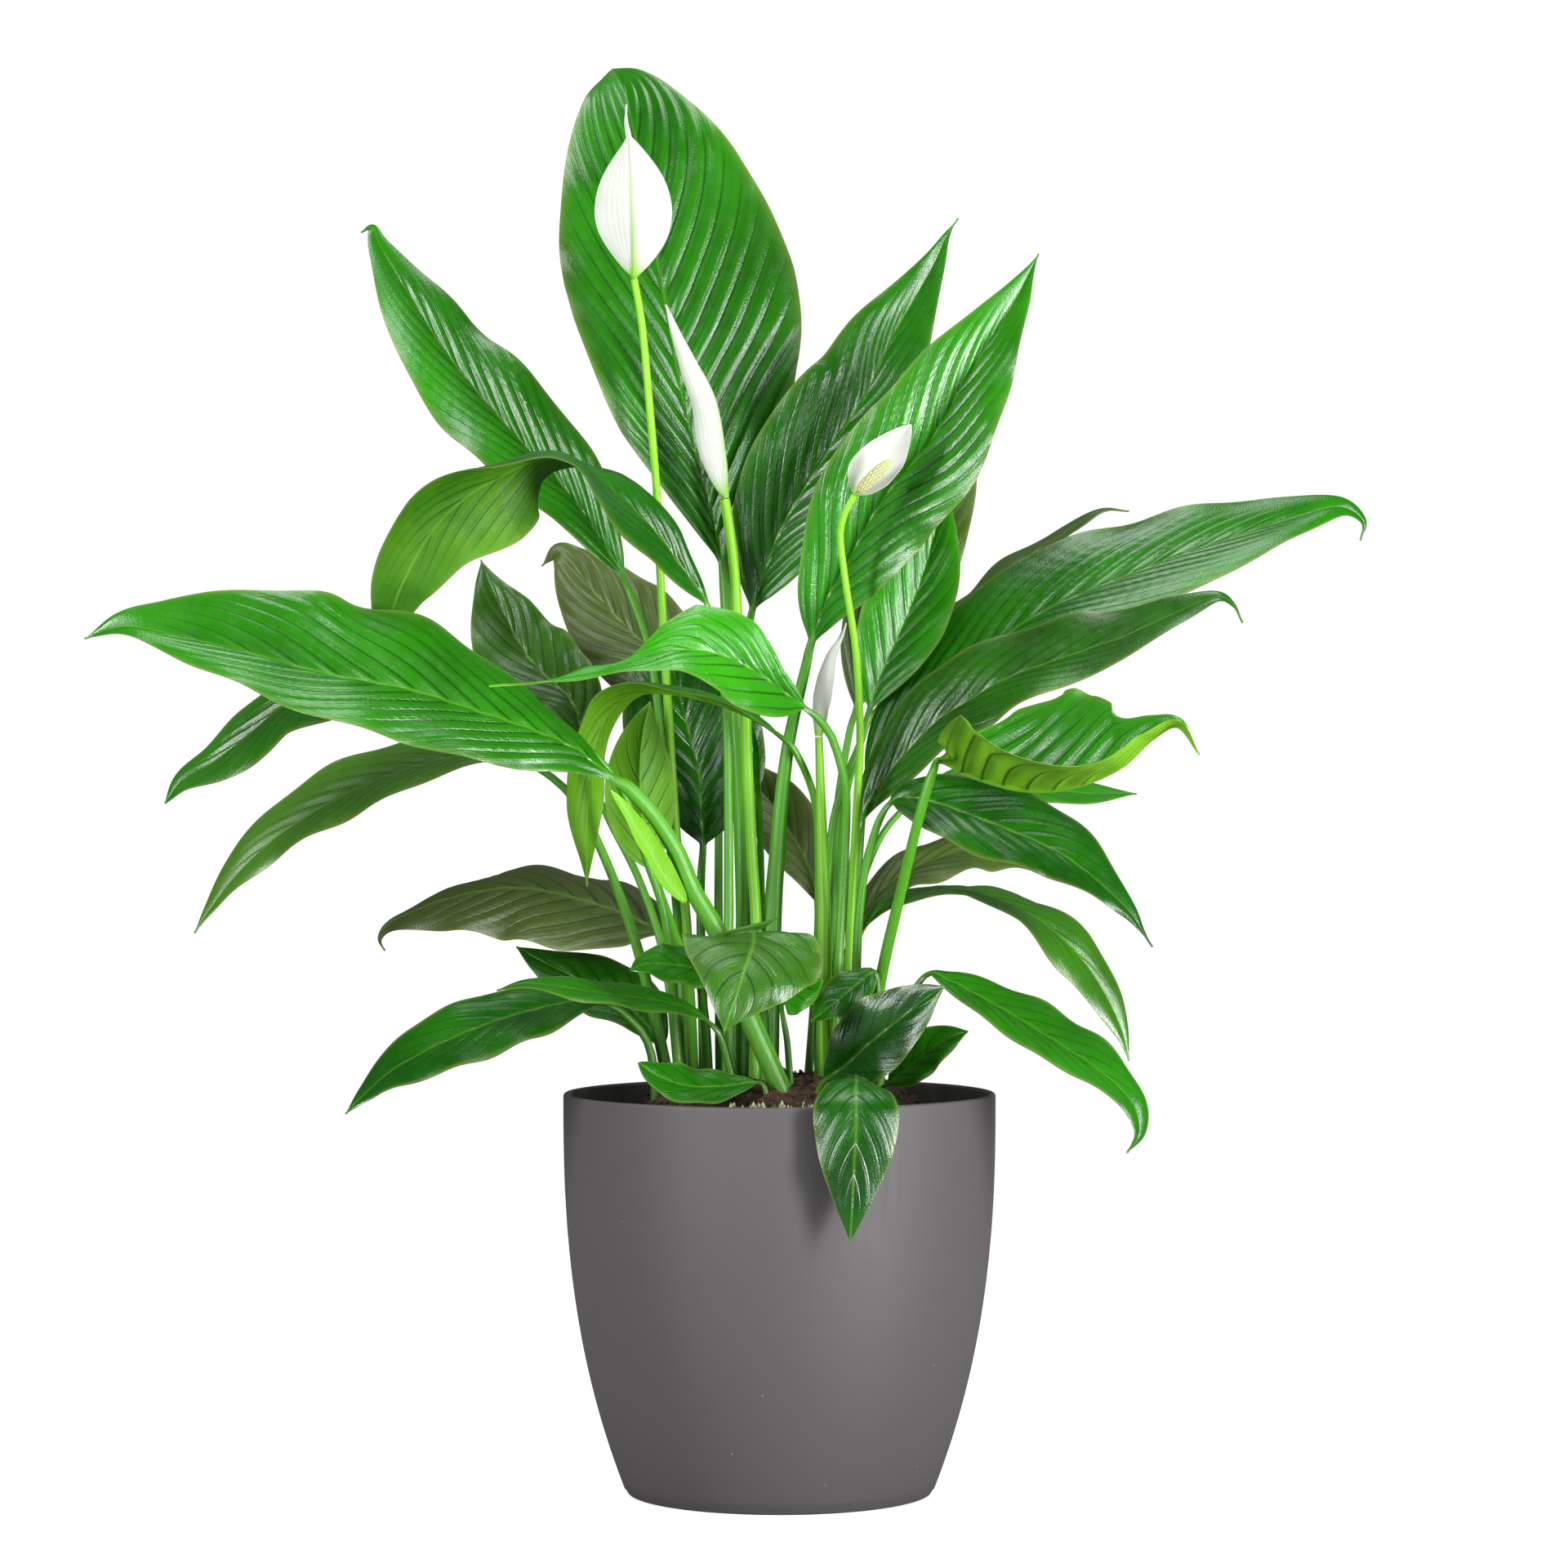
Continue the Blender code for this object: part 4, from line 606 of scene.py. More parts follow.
# %% The blooms
# Each bloom: its stalk's route, the white leaf (spathe) round its spike, and the spike (spadix),
# whose neck is the share of its length that is bare.
BLOOMS = {
    "bloom_1": dict(
        stalk=[(-46, 12, 196), (-47, 12, 283), (-52, 12, 327), (-55, 12, 368), (-57, 11, 402),
               (-61, 5, 472), (-62, -1, 500), (-64, -10, 527), (-66, -15, 550), (-70, -18, 593),
               (-74, -20, 617)],
        stalk_radius=(2.6, 1.8),
        rib=[(-74, -20.7, 617.6), (-74, -24, 621), (-74, -28, 639), (-75, -30, 660),
             (-76, -29, 684), (-78, -27, 697), (-78, -25, 706)],
        width=41, turn=(180, 180, 180), fold=(14, 14), arch=-10, ends=(1.05, 1.14, 0.83),
        spike=[(-74, -19, 617.6), (-75, -13, 642), (-76, -9, 664)], spike_radius=4.2, neck=0.1),
    "bloom_2": dict(
        stalk=[(-13, -12, 196), (-12, -10, 283), (-14, -8, 322), (-16, -7, 360), (-18, -8, 406),
               (-21, -9, 435), (-23, -11, 468), (-26, -13, 493), (-28, -14, 505)],
        stalk_radius=(3.0, 2.6),
        rib=[(-27, -15, 505.6), (-28, -16, 526), (-33, -16, 555), (-44, -16, 577),
             (-51, -16, 590), (-58, -16, 604)],
        width=29, turn=(105, 105, 105), fold=((24, 60, 60, 60, 60), (24, 60, 60, 60, 60)),
        arch=-60, ends=(0.6, 1.1),
        spike=[(-29.4, -14.4, 505.4), (-29.6, -15, 514), (-31.8, -14.8, 520), (-34.5, -14.4, 530),
               (-38.4, -14.3, 546)], spike_radius=2.1, neck=0.34),
    "bloom_3": dict(
        stalk=[(33, -20, 196), (36, -24, 283), (39, -30, 343), (41, -38, 385), (39, -48, 426),
               (34, -58, 460), (31, -64, 485), (33, -68, 497), (38, -71, 507)],
        stalk_radius=(2.4, 1.6),
        rib=[(38.3, -70.4, 507.5), (41, -68.6, 511), (46, -67, 518), (54, -66, 526),
             (61, -67, 535), (67, -70, 543)],
        width=24, turn=(8, 8, 8), fold=(18, 18), arch=-14, ends=(0.55, 0.85),
        spike=[(38.2, -72.2, 507.4), (41, -75, 510), (48, -78, 517), (57, -79, 525)],
        spike_radius=3.0, neck=0.14),
    "bloom_4": dict(
        stalk=[(22, -26, 196), (23, -26, 283), (22, -25, 322), (21, -24, 352), (20, -24, 384)],
        stalk_radius=(4.4, 3.4, 1.9),
        bud=[(20, -24, 384.4), (22, -24, 406), (26, -24, 424), (31, -23, 434), (34, -22, 442)],
        bud_radius=4.6),
}
print("blooms described:", len(BLOOMS))

# %% [markdown]
# ## Colour of each leaf
#
# Leaves differ: young ones are bright, those at the back and below are older and turn olive. Two
# numbers per leaf say so: its tone from deep to bright, which is partly how fresh it is, and how olive.
# The tone is also partly painted light: low tones paint the shade on leaves low down and at the back,
# and high tones paint the sheen of glossy leaves such as leaf_20, leaf_21 and leaf_30. On leaf_05 the
# olive share also paints a tan sheen. A leaf that isn't listed has the middle values.

# %% Tone, partly painted shade and sheen, and olive share
MIDDLE_TONE = (0.45, 0.0)
TONES_WITH_PAINTED_LIGHT = {
    "leaf_01_top": (0.38, 0.0), "leaf_02_upper_left": (0.55, 0.0), "leaf_03_arching": (0.18, 0.0),
    "leaf_04_back_left": (0.25, 0.3), "leaf_05_back_brown": (0.36, 0.85),
    "leaf_07_far_left": (0.32, 0.1), "leaf_08_lower_left": (0.75, 0.5),
    "leaf_09_brown_left": (0.4, 0.85), "leaf_10_dark_left": (0.12, 0.0),
    "leaf_12_low_left": (0.12, 0.0), "leaf_13_rim_left": (0.25, 0.0),
    "leaf_14_centre": (0.33, 0.3), "leaf_15_bright_centre": (0.9, 0.0),
    "leaf_16_hanging": (0.5, 0.0), "leaf_17_under": (0.4, 0.0),
    "leaf_18_dark_centre": (0.15, 0.0), "leaf_19_upper_right": (0.34, 0.0),
    "leaf_20_right_front": (0.55, 0.0), "leaf_21_glossy_right": (0.65, 0.0),
    "leaf_22_back_right": (0.36, 0.75), "leaf_23_long_right": (0.3, 0.0),
    "leaf_24_narrow_right": (0.42, 0.6), "leaf_25_right_middle": (0.16, 0.1),
    "leaf_26_light_folded": (0.7, 0.0), "leaf_27_right_low": (0.1, 0.0),
    "leaf_28_far_right": (0.6, 0.0), "leaf_29_brown_right": (0.36, 0.8),
    "leaf_30_twisted_right": (0.4, 0.25), "leaf_31_low_right": (0.4, 0.0),
    "leaf_32_glossy_front": (0.0, 0.0), "leaf_33_behind_glossy": (0.35, 0.0),
    "leaf_34_over_rim": (0.1, 0.0), "leaf_35_small_dark": (0.15, 0.0),
    "leaf_36_bright_small": (1.0, 0.0), "leaf_38_brown_centre": (0.3, 0.9),
    "leaf_39_spear": (0.9, 0.0),
}

# %% [markdown]
# ## Leaf tissue
#
# The upper face of a leaf has a waxy cuticle: smooth, with sharp reflections. The under face has none,
# so it is dull, and it is paler: partly its own colour and partly painted light, the glow of light that
# shines through the thin leaf. The midrib is lighter, as it holds no green, and each side vein lies in
# a crease whose darkness is painted shade. All of this reads marks that the mesh carries for each
# point, such as how many veins lie between it and the base. Fine veinlets run along the side veins
# about 1 mm apart, drawn as a bump. Where a face is seen nearly edge-on the bump fades and the surface
# is rougher, or a lamp that is caught there would burn it out to white.

# %% Leaf material
CREASE_SHARE = 0.12
LEAF_MARKS = ("tone_and_painted_light", "olive", "rib", "vein", "under", "stalk", "edge", "along", "across", "fine")
# For the upper face and the under face: a deep leaf, a bright one and an aged one. The under face's
# colours are lighter partly as painted light, the glow of light shining through the leaf
FACE_COLOURS = (("#064200", "#349C08", "#4E5A1C"), ("#266600", "#88CC24", "#7E7A40"))
# Each line on the blade: its mark, how strongly it covers, and its colour. The dark vein line is
# painted shade in the creases; the midrib and edge lines are the leaf's own colours
LINE_AND_CREASE_SHADE_COLOURS = (("vein", 0.8, "#083600"), ("rib", 0.28, "#84C43C"), ("edge", 0.4, "#86964C"))
UPPER_ROUGHNESS = 0.22
UNDER_ROUGHNESS = 0.5
EDGE_ON_ROUGHNESS = 0.45


def blade_colour(tree, mark, place):
    """Deep to bright by tone, which partly paints shade and sheen, and then to aged by olive, on each
    face, with lines laid over it; the under face's colour is partly painted light through the leaf and
    the vein line is painted shade.
    """
    blotch = remapped(tree, noise(tree, place, 26.0, 5.0), 0.35, 0.65, -0.12, 0.12)
    # The tone partly paints light: shade on dark leaves low down and at the back, sheen on bright
    # glossy ones
    tone_and_painted_light = worked_out(tree, "ADD", mark["tone_and_painted_light"], blotch, use_clamp=True)
    # The under face's colours are partly painted light: the glow of light shining through the leaf
    upper, under = (mixed(tree, mark["olive"], mixed(tree, tone_and_painted_light, deep, bright), aged)
                    for deep, bright, aged in FACE_COLOURS)
    blade = mixed(tree, mark["under"], upper, under)
    # The vein line paints dark shade into each crease; the rib and edge lines are the leaf's own
    # colours
    for name, cover, colour in LINE_AND_CREASE_SHADE_COLOURS:
        blade = mixed(tree, worked_out(tree, "MULTIPLY", mark[name], cover), blade, colour)
    return blade


def stem_colour(tree, place, fibre_scale, heights, colours):
    """Low to high colour between two heights in metres, half covered by noise in the fibres'
    colour. Gives the colour and the noise."""
    low, high, fibre = colours
    fibres = noise(tree, stretched(tree, place, fibre_scale), 1.0, 3.0)
    height = add_node(tree, "SeparateXYZ", {0: place}).outputs[2]
    stem = mixed(tree, remapped(tree, height, *heights), low, high)
    return mixed(tree, worked_out(tree, "MULTIPLY", fibres, 0.5), stem, fibre), fibres


def veinlet_height(tree, mark, place):
    """Noise drawn out along the side veins * fine + 0.4 * cell noise - 0.5 * crease."""
    lines = add_node(tree, "CombineXYZ", {0: mark["along"], 1: mark["across"]}).outputs[0]
    veinlets = noise(tree, stretched(tree, lines, (7.0, 0.3, 1.0)), 1.0, 3.0)
    height = worked_out(tree, "MULTIPLY", veinlets, mark["fine"])
    height = worked_out(tree, "MULTIPLY_ADD", noise(tree, place, 1100.0, 2.0), 0.4, height)
    return worked_out(tree, "MULTIPLY_ADD", mark["vein"], -0.5, height)


def cuticle_roughness(tree, mark, place, edge_on):
    """The face's own value + smear + 0.2 olive + 0.2 stalk, and more where it is seen edge-on."""
    rough = remapped(tree, mark["under"], 0.0, 1.0, UPPER_ROUGHNESS, UNDER_ROUGHNESS)
    smear = remapped(tree, noise(tree, place, 150.0, 4.0), 0.35, 0.65, -0.04, 0.08)
    rough = worked_out(tree, "ADD", rough, smear)
    for name in ("olive", "stalk"):
        rough = worked_out(tree, "MULTIPLY_ADD", mark[name], 0.2, rough)
    more = remapped(tree, edge_on, 0.6, 0.95, 0.0, EDGE_ON_ROUGHNESS)
    return worked_out(tree, "ADD", rough, more, use_clamp=True)


def leaf_tissue():
    """Leaf cuticle and tissue: glossy above and dull below, with a pale midrib."""
    material, tree = new_material("waxy_leaf_cuticle")
    mark = {name: mesh_mark(tree, name) for name in LEAF_MARKS}
    place = own_place(tree)
    from_vein = worked_out(tree, "PINGPONG", mark["along"], 0.5)
    # The vein mark narrowed to each crease draws both the painted crease shade and the bump's groove
    crease = remapped(tree, from_vein, 0.0, CREASE_SHARE, 1.0, 0.0, interpolation_type="SMOOTHSTEP")
    mark["vein"] = worked_out(tree, "MULTIPLY", crease, mark["vein"])
    stem, _ = stem_colour(tree, place, (700.0, 700.0, 22.0), (0.19, 0.34),
                          ("#1E5600", "#429804", "#6CB81C"))
    edge_on = add_node(tree, "LayerWeight", {"Blend": 0.5}).outputs["Facing"]
    strength = remapped(tree, edge_on, 0.55, 0.88, 0.6, 0.0)
    return coated(material, tree, {
        "Base Color": mixed(tree, mark["stalk"], blade_colour(tree, mark, place), stem),
        "Roughness": cuticle_roughness(tree, mark, place, edge_on),
        "Normal": bumped(tree, veinlet_height(tree, mark, place), strength, 0.0006),
        "IOR": 1.6, "Specular IOR Level": remapped(tree, mark["under"], 0.0, 1.0, 0.5, 0.22)})


leaf_finish = leaf_tissue()
print("made", leaf_finish.name)

# %% [markdown]
# ## Routes and frames
#
# A route drawn on the camera's view is first set at its real place: a point that lies nearer to
# the camera than the pot's axis shrinks towards the line of sight, in proportion. A smooth
# Catmull-Rom curve then runs through the points. At each place on it a frame is needed: the
# direction along, the direction to the side, and the one out of the blade's face.

# %% Routes and frames
POT_HEIGHT = 203.0
POT_RIM_RADIUS = 110.0
POT_FOOT_RADIUS = 78.0
POT_TAPER = 2.54
POT_WALL = 3.0
POT_FLOOR = 4.0
SOIL_GAP = 0.3
SOIL_DROP = 22.0
SOIL_MOUND = 29.0
MOUND_FLAT = 46.0
MOUND_EDGE = 98.0
STEM_DEPTH = 11.0
SPAN_POINTS = 24
FRAME_SAMPLES = 241


def seat(points):
    """Real place = eye + (drawn - eye) * (eye distance + depth) / eye distance."""
    points = np.array(points, float)
    nearer = (EYE_DISTANCE + points[:, 1]) / EYE_DISTANCE
    x = EYE_X + (points[:, 0] - EYE_X) * nearer
    z = EYE_HEIGHT + (points[:, 2] - EYE_HEIGHT) * nearer
    return np.column_stack([x, points[:, 1], z])


def smooth_route(points):
    """Catmull-Rom: 0.5 (2b + (c-a)u + (2a-5b+4c-d)u^2 + (3b-a-3c+d)u^3) on each span."""
    ghost = np.vstack([2 * points[0] - points[1], points, 2 * points[-1] - points[-2]])
    a, b, c, d = (ghost[k:len(ghost) - 3 + k, None] for k in range(4))
    u = np.linspace(0, 1, SPAN_POINTS, endpoint=False)[None, :, None]
    spans = 0.5 * (2 * b + (c - a) * u + (2 * a - 5 * b + 4 * c - d) * u**2
                   + (3 * b - a - 3 * c + d) * u**3)
    return np.vstack([spans.reshape(-1, 3), points[-1:]])


def lengths_along(route):
    """The length of the route up to each of its points: the running sum of its steps."""
    return np.concatenate([[0], np.cumsum(np.linalg.norm(np.diff(route, axis=0), axis=1))])


def at_lengths(route, along, wanted):
    """The place on the route at each wanted length, between its two nearest points."""
    return np.column_stack([np.interp(wanted, along, route[:, k]) for k in range(3)])


def unit(vectors):
    """Each vector divided by its own length."""
    return vectors / np.linalg.norm(vectors, axis=-1, keepdims=True)


def frames(centres, turn):
    """Side and normal at each centre: across = along x towards the eye, then both turned."""
    along = unit(np.gradient(centres, axis=0))
    across = unit(np.cross(along, np.array([0.0, -1.0, 0.0])))
    outward = np.cross(across, along)
    angle = np.radians(turn)[:, None]
    side = across * np.cos(angle) + outward * np.sin(angle)
    normal = outward * np.cos(angle) - across * np.sin(angle)
    return side, normal


def along_list(values, place):
    """A value that runs evenly through a list from 0 to 1, or stays the same if it's one number."""
    values = np.atleast_1d(values)
    return np.interp(place, np.linspace(0, 1, len(values)), values)


def even_spine(route, count, turn=0):
    """Centre, side and normal at even places along a route, ready for rings of points."""
    along = lengths_along(route)
    share = np.linspace(0, 1, count)
    centres = at_lengths(route, along, share * along[-1])
    side, normal = frames(centres, along_list(turn, share))
    return centres[:, None], side[:, None], normal[:, None]


def tube(spine, radius, angle):
    """Centre + radius (cos side + sin normal), for every ring and angle at once."""
    centre, side, normal = spine
    return (centre + side * (radius * np.cos(angle))[..., None]
            + normal * (radius * np.sin(angle))[..., None])


def bell(distance, width):
    """exp(-(distance / width)^2): 1 in the middle, and nearly nothing at twice the width."""
    return np.exp(-(distance / width) ** 2)


def soil_height(radius):
    """The mound: its top, minus its height times 3s^2 - 2s^3 between its two radii."""
    share = np.clip((radius - MOUND_FLAT) / (MOUND_EDGE - MOUND_FLAT), 0, 1)
    return POT_HEIGHT - SOIL_DROP + SOIL_MOUND * (1 - share * share * (3 - 2 * share))


def foot_below(points):
    """A stalk's real points, with its foot at the depth that it goes into the soil."""
    points = seat(points)
    points[0, 2] = soil_height(np.hypot(points[0, 0], points[0, 1])) - STEM_DEPTH
    return points


print("soil under the crown:", soil_height(0), "mm high")

# %% [markdown]
# ## The shape of a blade
#
# Between its side veins a peace lily's blade bulges up like a quilt, and these low ridges give
# the leaf its streaks of light. Every point of the blade has two coordinates: t runs from base
# to tip, and s from -1 at the left edge to 1 at the right. A side vein leaves the midrib and
# sweeps towards the tip, so it is a line of equal t - sweep(t) |s|^1.1. Counting the veins along
# that value gives the ridge height as a wave from each vein to the next, which leans towards
# the base, so that one flank is steep and catches the light. Where the veins crowd together
# the ridges are lower, in proportion to the space between them, and short leaves are smoother.

# %% Veins and ridges
VEIN_SWEEP = 0.62
VEIN_START = 0.32
VEIN_CURVE = 1.1
VEIN_CROWDING = 0.3
SWEEP_LOSS = 0.6
RIDGE_LEAN = 0.7
RIB_FADE = 0.1
BASE_FADE = 0.08
TIP_FADE = 0.15
LEAST_STEP = 0.05
LEAST_GRADIENT = 0.03
TAIL_SHARE = 0.07
ARCH_START = 0.5
ARCH_BEND = 1.6
STRAIGHT_BELOW = 1e-6
SLOW_WAVES = 4
WAVE_RATES = (1.2, 4.2)
WAVE_LEANS = (-0.7, 0.7)
WAVE_PHASES = (0, 6.28)
WAVE_SHARE = 0.4


def vein_count(t, s, veins):
    """Veins passed from the base: veins * (t - crowding t^2 - (1 - loss t) swept), where
    swept = sweep t / (t + start) |s|^curve."""
    swept = VEIN_SWEEP * t / (t + VEIN_START) * np.abs(s) ** VEIN_CURVE
    return veins * (t - VEIN_CROWDING * t**2 - (1 - SWEEP_LOSS * t) * swept)


def ridge_height(count, t, s):
    """-0.5 cos(2 pi f^lean) for the fraction f from one vein to the next, steep where f is
    small, and fading out at the midrib, the edge, the base and the tip."""
    arch = -0.5 * np.cos(2 * np.pi * (count % 1) ** RIDGE_LEAN)
    edge = np.clip(np.abs(s) / RIB_FADE, 0, 1) * (1 - np.abs(s) ** 8)
    return arch * edge * np.clip(t / BASE_FADE, 0, 1) * np.clip((1 - t) / TIP_FADE, 0, 1)


def vein_spacing(count, q, from_rib):
    """Millimetres from one vein to the next: 1 / |gradient of the count| over the surface."""
    along = np.gradient(count, axis=0) / np.gradient(q)[:, None]
    across = np.gradient(count, axis=1) / np.maximum(np.gradient(from_rib, axis=1), LEAST_STEP)
    return 1 / np.maximum(np.hypot(along, across), LEAST_GRADIENT)


def blade_outline(t, ends):
    """Half width from 0 to 1: (u / widest)^rise * ((1 - u) / (1 - widest))^fall, where u = t.

    With a third number in ends, u = t / that number, and a thin tail goes on beyond it.
    """
    rise, fall = ends[:2]
    body = ends[2] if len(ends) > 2 else 1.0
    u = np.minimum(t / body, 1.0)
    widest = rise / (rise + fall)
    outline = (u / widest) ** rise * ((1 - u) / (1 - widest)) ** fall
    if body == 1.0:
        return outline
    return np.maximum(outline, TAIL_SHARE * np.minimum((1 - t) / (1 - body), 1))


def half_offset(share, fold, arch):
    """Across and out for a share of a half blade: the integral of (cos, sin) of its slope."""
    start = np.radians(fold + arch * ARCH_START)
    bend = np.radians(-arch * ARCH_BEND)
    if abs(bend) < STRAIGHT_BELOW:
        return share * np.cos(start), share * np.sin(start)
    end = start + bend * share
    return (np.sin(end) - np.sin(start)) / bend, (np.cos(start) - np.cos(end)) / bend


def undulation(t, s, height, seed):
    """Slow waves that no two leaves share: seeded sines in t and s, nil along the midrib."""
    draw = np.random.default_rng(seed)
    total = 0.0
    for _ in range(SLOW_WAVES):
        rate, lean, phase = (draw.uniform(*span) for span in (WAVE_RATES, WAVE_LEANS, WAVE_PHASES))
        total = total + np.sin(2 * np.pi * (rate * t + lean * s) + phase)
    return height * WAVE_SHARE * total * np.abs(s) ** 1.3 * np.sin(np.pi * np.clip(t, 0, 1)) ** 0.7


print("half a blade's slope runs from", ARCH_START, "to", ARCH_START - ARCH_BEND, "of its arch")

# %% [markdown]
# ## From the soil to the tip in one skin
#
# A leaf grows as one piece, so it is one skin: a stack of closed rings. A ring of the stalk is
# a circle, a ring of the blade runs along its upper face and back along its under face, and
# between them one blends into the other. The lower stalk is a sheath, a leaf edge rolled over
# itself, which shows as a fine step along it.

# %% A blade of rings
BLADE_THICK = 0.7
TIP_WIDTH = 0.45
NECK_SHARE = 0.02
CLOSER_TO_RIB = 1.4


def across_blade(columns):
    """s from -1 to 1 in one row, with its steps closer together near the midrib."""
    shares = (np.arange(1, columns + 1) / columns) ** CLOSER_TO_RIB
    return np.concatenate([-shares[::-1], [0], shares])[None, :]


def blade_middle(spec, t, s, half_width):
    """The blade's middle surface as (sideways, out) and its slope, for all t and s at once."""
    sideways = np.zeros(np.broadcast_shapes(t.shape, s.shape))
    out = np.zeros_like(sideways)
    slope = np.zeros_like(sideways)
    for half, sign in enumerate((-1, 1)):
        fold = along_list(spec["fold"][half], np.clip(t, 0, 1))
        reach = half_width * along_list(spec.get("sides", (1, 1))[half], np.clip(t, 0, 1))
        share = np.abs(s)
        across, rise = half_offset(share, fold, spec["arch"])
        tilt = sign * np.radians(fold + spec["arch"] * (ARCH_START - ARCH_BEND * share))
        mine = (np.sign(s) == sign) & np.ones_like(sideways, bool)
        sideways = np.where(mine, sign * across * reach, sideways)
        out = np.where(mine, rise * reach, out)
        slope = np.where(mine, tilt, slope)
    height, count = spec.get("wave", (0.0, 1))
    sign = np.where(s < 0, -1, 1)
    wave = height * s**2 * np.sin(2 * np.pi * (count * t + 0.25 * sign))
    return sideways, out + wave * np.sin(np.pi * np.clip(t, 0, 1)), slope


def blade_skin(spine, middle, relief, above, below):
    """Closed rings: the middle surface + relief, then above and below it along its own normal."""
    centre, side, normal = spine
    sideways, out, slope = (values[..., None] for values in middle)
    skin = normal * np.cos(slope) - side * np.sin(slope)
    middle = centre + side * sideways + normal * out + skin * relief[..., None]
    upper = middle + skin * above[..., None]
    under = middle - skin * below[..., None]
    return np.concatenate([upper, under[:, ::-1]], axis=1)


def midrib(t, from_rib, height, width):
    """How far the midrib stands out below: height (1 - 0.75 t) bell(width (1.05 - t))."""
    return height * (1 - 0.75 * t) * bell(from_rib, width * (1.05 - t))


def two_faces(values, shape):
    """Values for the upper face, and the same ones in reverse for the way back below."""
    values = np.broadcast_to(values, shape)
    return np.concatenate([values, values[:, ::-1]], axis=1)


print("a blade is", BLADE_THICK, "mm thick beside its midrib")

# %% Leaf surface
ALONG_STEP = 1.5
STALK_STEP = 8.0
ACROSS_STEP = 1.8
LEAST_STALK_RINGS = 4
LEAST_COLUMNS = 6
OPENING = 14.0
OPENING_SHARE = 0.05
NECK_WIDTH = 0.9
EDGE_THINNING = 0.55
RIB_THICK = 1.1
RIB_WIDTH = 1.5
RIDGE_SHARE = 0.2
MM_PER_VEIN = 17.0
LEAST_VEINS = 4.0
GROWN_LENGTH = 190.0
LEAST_GROWN = 0.35
FLAT_SPACING = 3.0
SPACING_RISE = 2.5
MOST_UNDULATION = 1.2
UNDULATION_SHARE = 0.012
FRILL_HEIGHT = 0.6
FRILLS_PER_VEIN = 0.3
FULL_FRILL_WIDTH = 60.0
LEAST_FRILL = 0.3
# The groove over the midrib and the fine cord in it: depth or height, and width, in mm
GROOVE = (0.45, 2.0)
CORD = (0.4, 0.8)
SHEATH_STEP = 0.11
SHEATH_TOP = 0.46
SHEATH_FADE = 0.08
SHEATH_EDGE = 1.1
CHANNEL_DEPTH = 0.16
CHANNEL_MIDDLE = 1.57
CHANNEL_WIDTH = 0.4
CREASE_FROM = 1.8
CREASE_RISE = 6.0
CREASE_RIB_GAP = 0.05
FINE_SPACING = 8.0
RIB_LINE_WIDTH = 0.4
RIB_LINE_SHARE = 0.009
EDGE_LINE_POWER = 24
ACROSS_SCALE = 0.12


def ring_places(base, total):
    """Lengths along the route: wide steps up the stalk, narrow ones from just below the blade."""
    opens = base - OPENING
    low = np.linspace(0, opens, max(LEAST_STALK_RINGS, round(base / STALK_STEP)), endpoint=False)
    return np.concatenate([low, np.linspace(opens, total, round((total - opens) / ALONG_STEP))])


def blade_relief(spec, seed, length, t, s, count, spacing):
    """Ridges between the veins + slow waves + a frill at the edge, all in mm."""
    grown = np.clip(length / GROWN_LENGTH, LEAST_GROWN, 1) ** 1.5
    room = np.clip((spacing - FLAT_SPACING) / SPACING_RISE, 0, 1)
    ridges = RIDGE_SHARE * grown * spacing * room * ridge_height(count, t, s)
    height = min(MOST_UNDULATION, UNDULATION_SHARE * spec["width"])
    frills = (LEAST_VEINS + length / MM_PER_VEIN) * FRILLS_PER_VEIN
    frill = np.sin(np.pi * t) * np.abs(s) ** 5 * np.sin(2 * np.pi * frills * t + seed)
    frill = FRILL_HEIGHT * frill * np.clip(spec["width"] / FULL_FRILL_WIDTH, LEAST_FRILL, 1)
    return ridges + undulation(t, s, height, seed) + frill


def stem_radius(spec, up_stalk, angle):
    """The listed radius, with the step of the sheath's edge low down and a channel above it."""
    sheath = SHEATH_STEP * np.clip((SHEATH_TOP - up_stalk) / SHEATH_FADE, 0, 1)
    turned = ((angle - SHEATH_EDGE) % (2 * np.pi)) / (2 * np.pi)
    radius = along_list(spec["stalk_radius"], up_stalk**0.8) * (1 + sheath * (turned - 0.5))
    deep = CHANNEL_DEPTH * np.clip(up_stalk * 1.6 - 0.6, 0, 1)
    return radius * (1 - deep * bell(angle - CHANNEL_MIDDLE, CHANNEL_WIDTH))


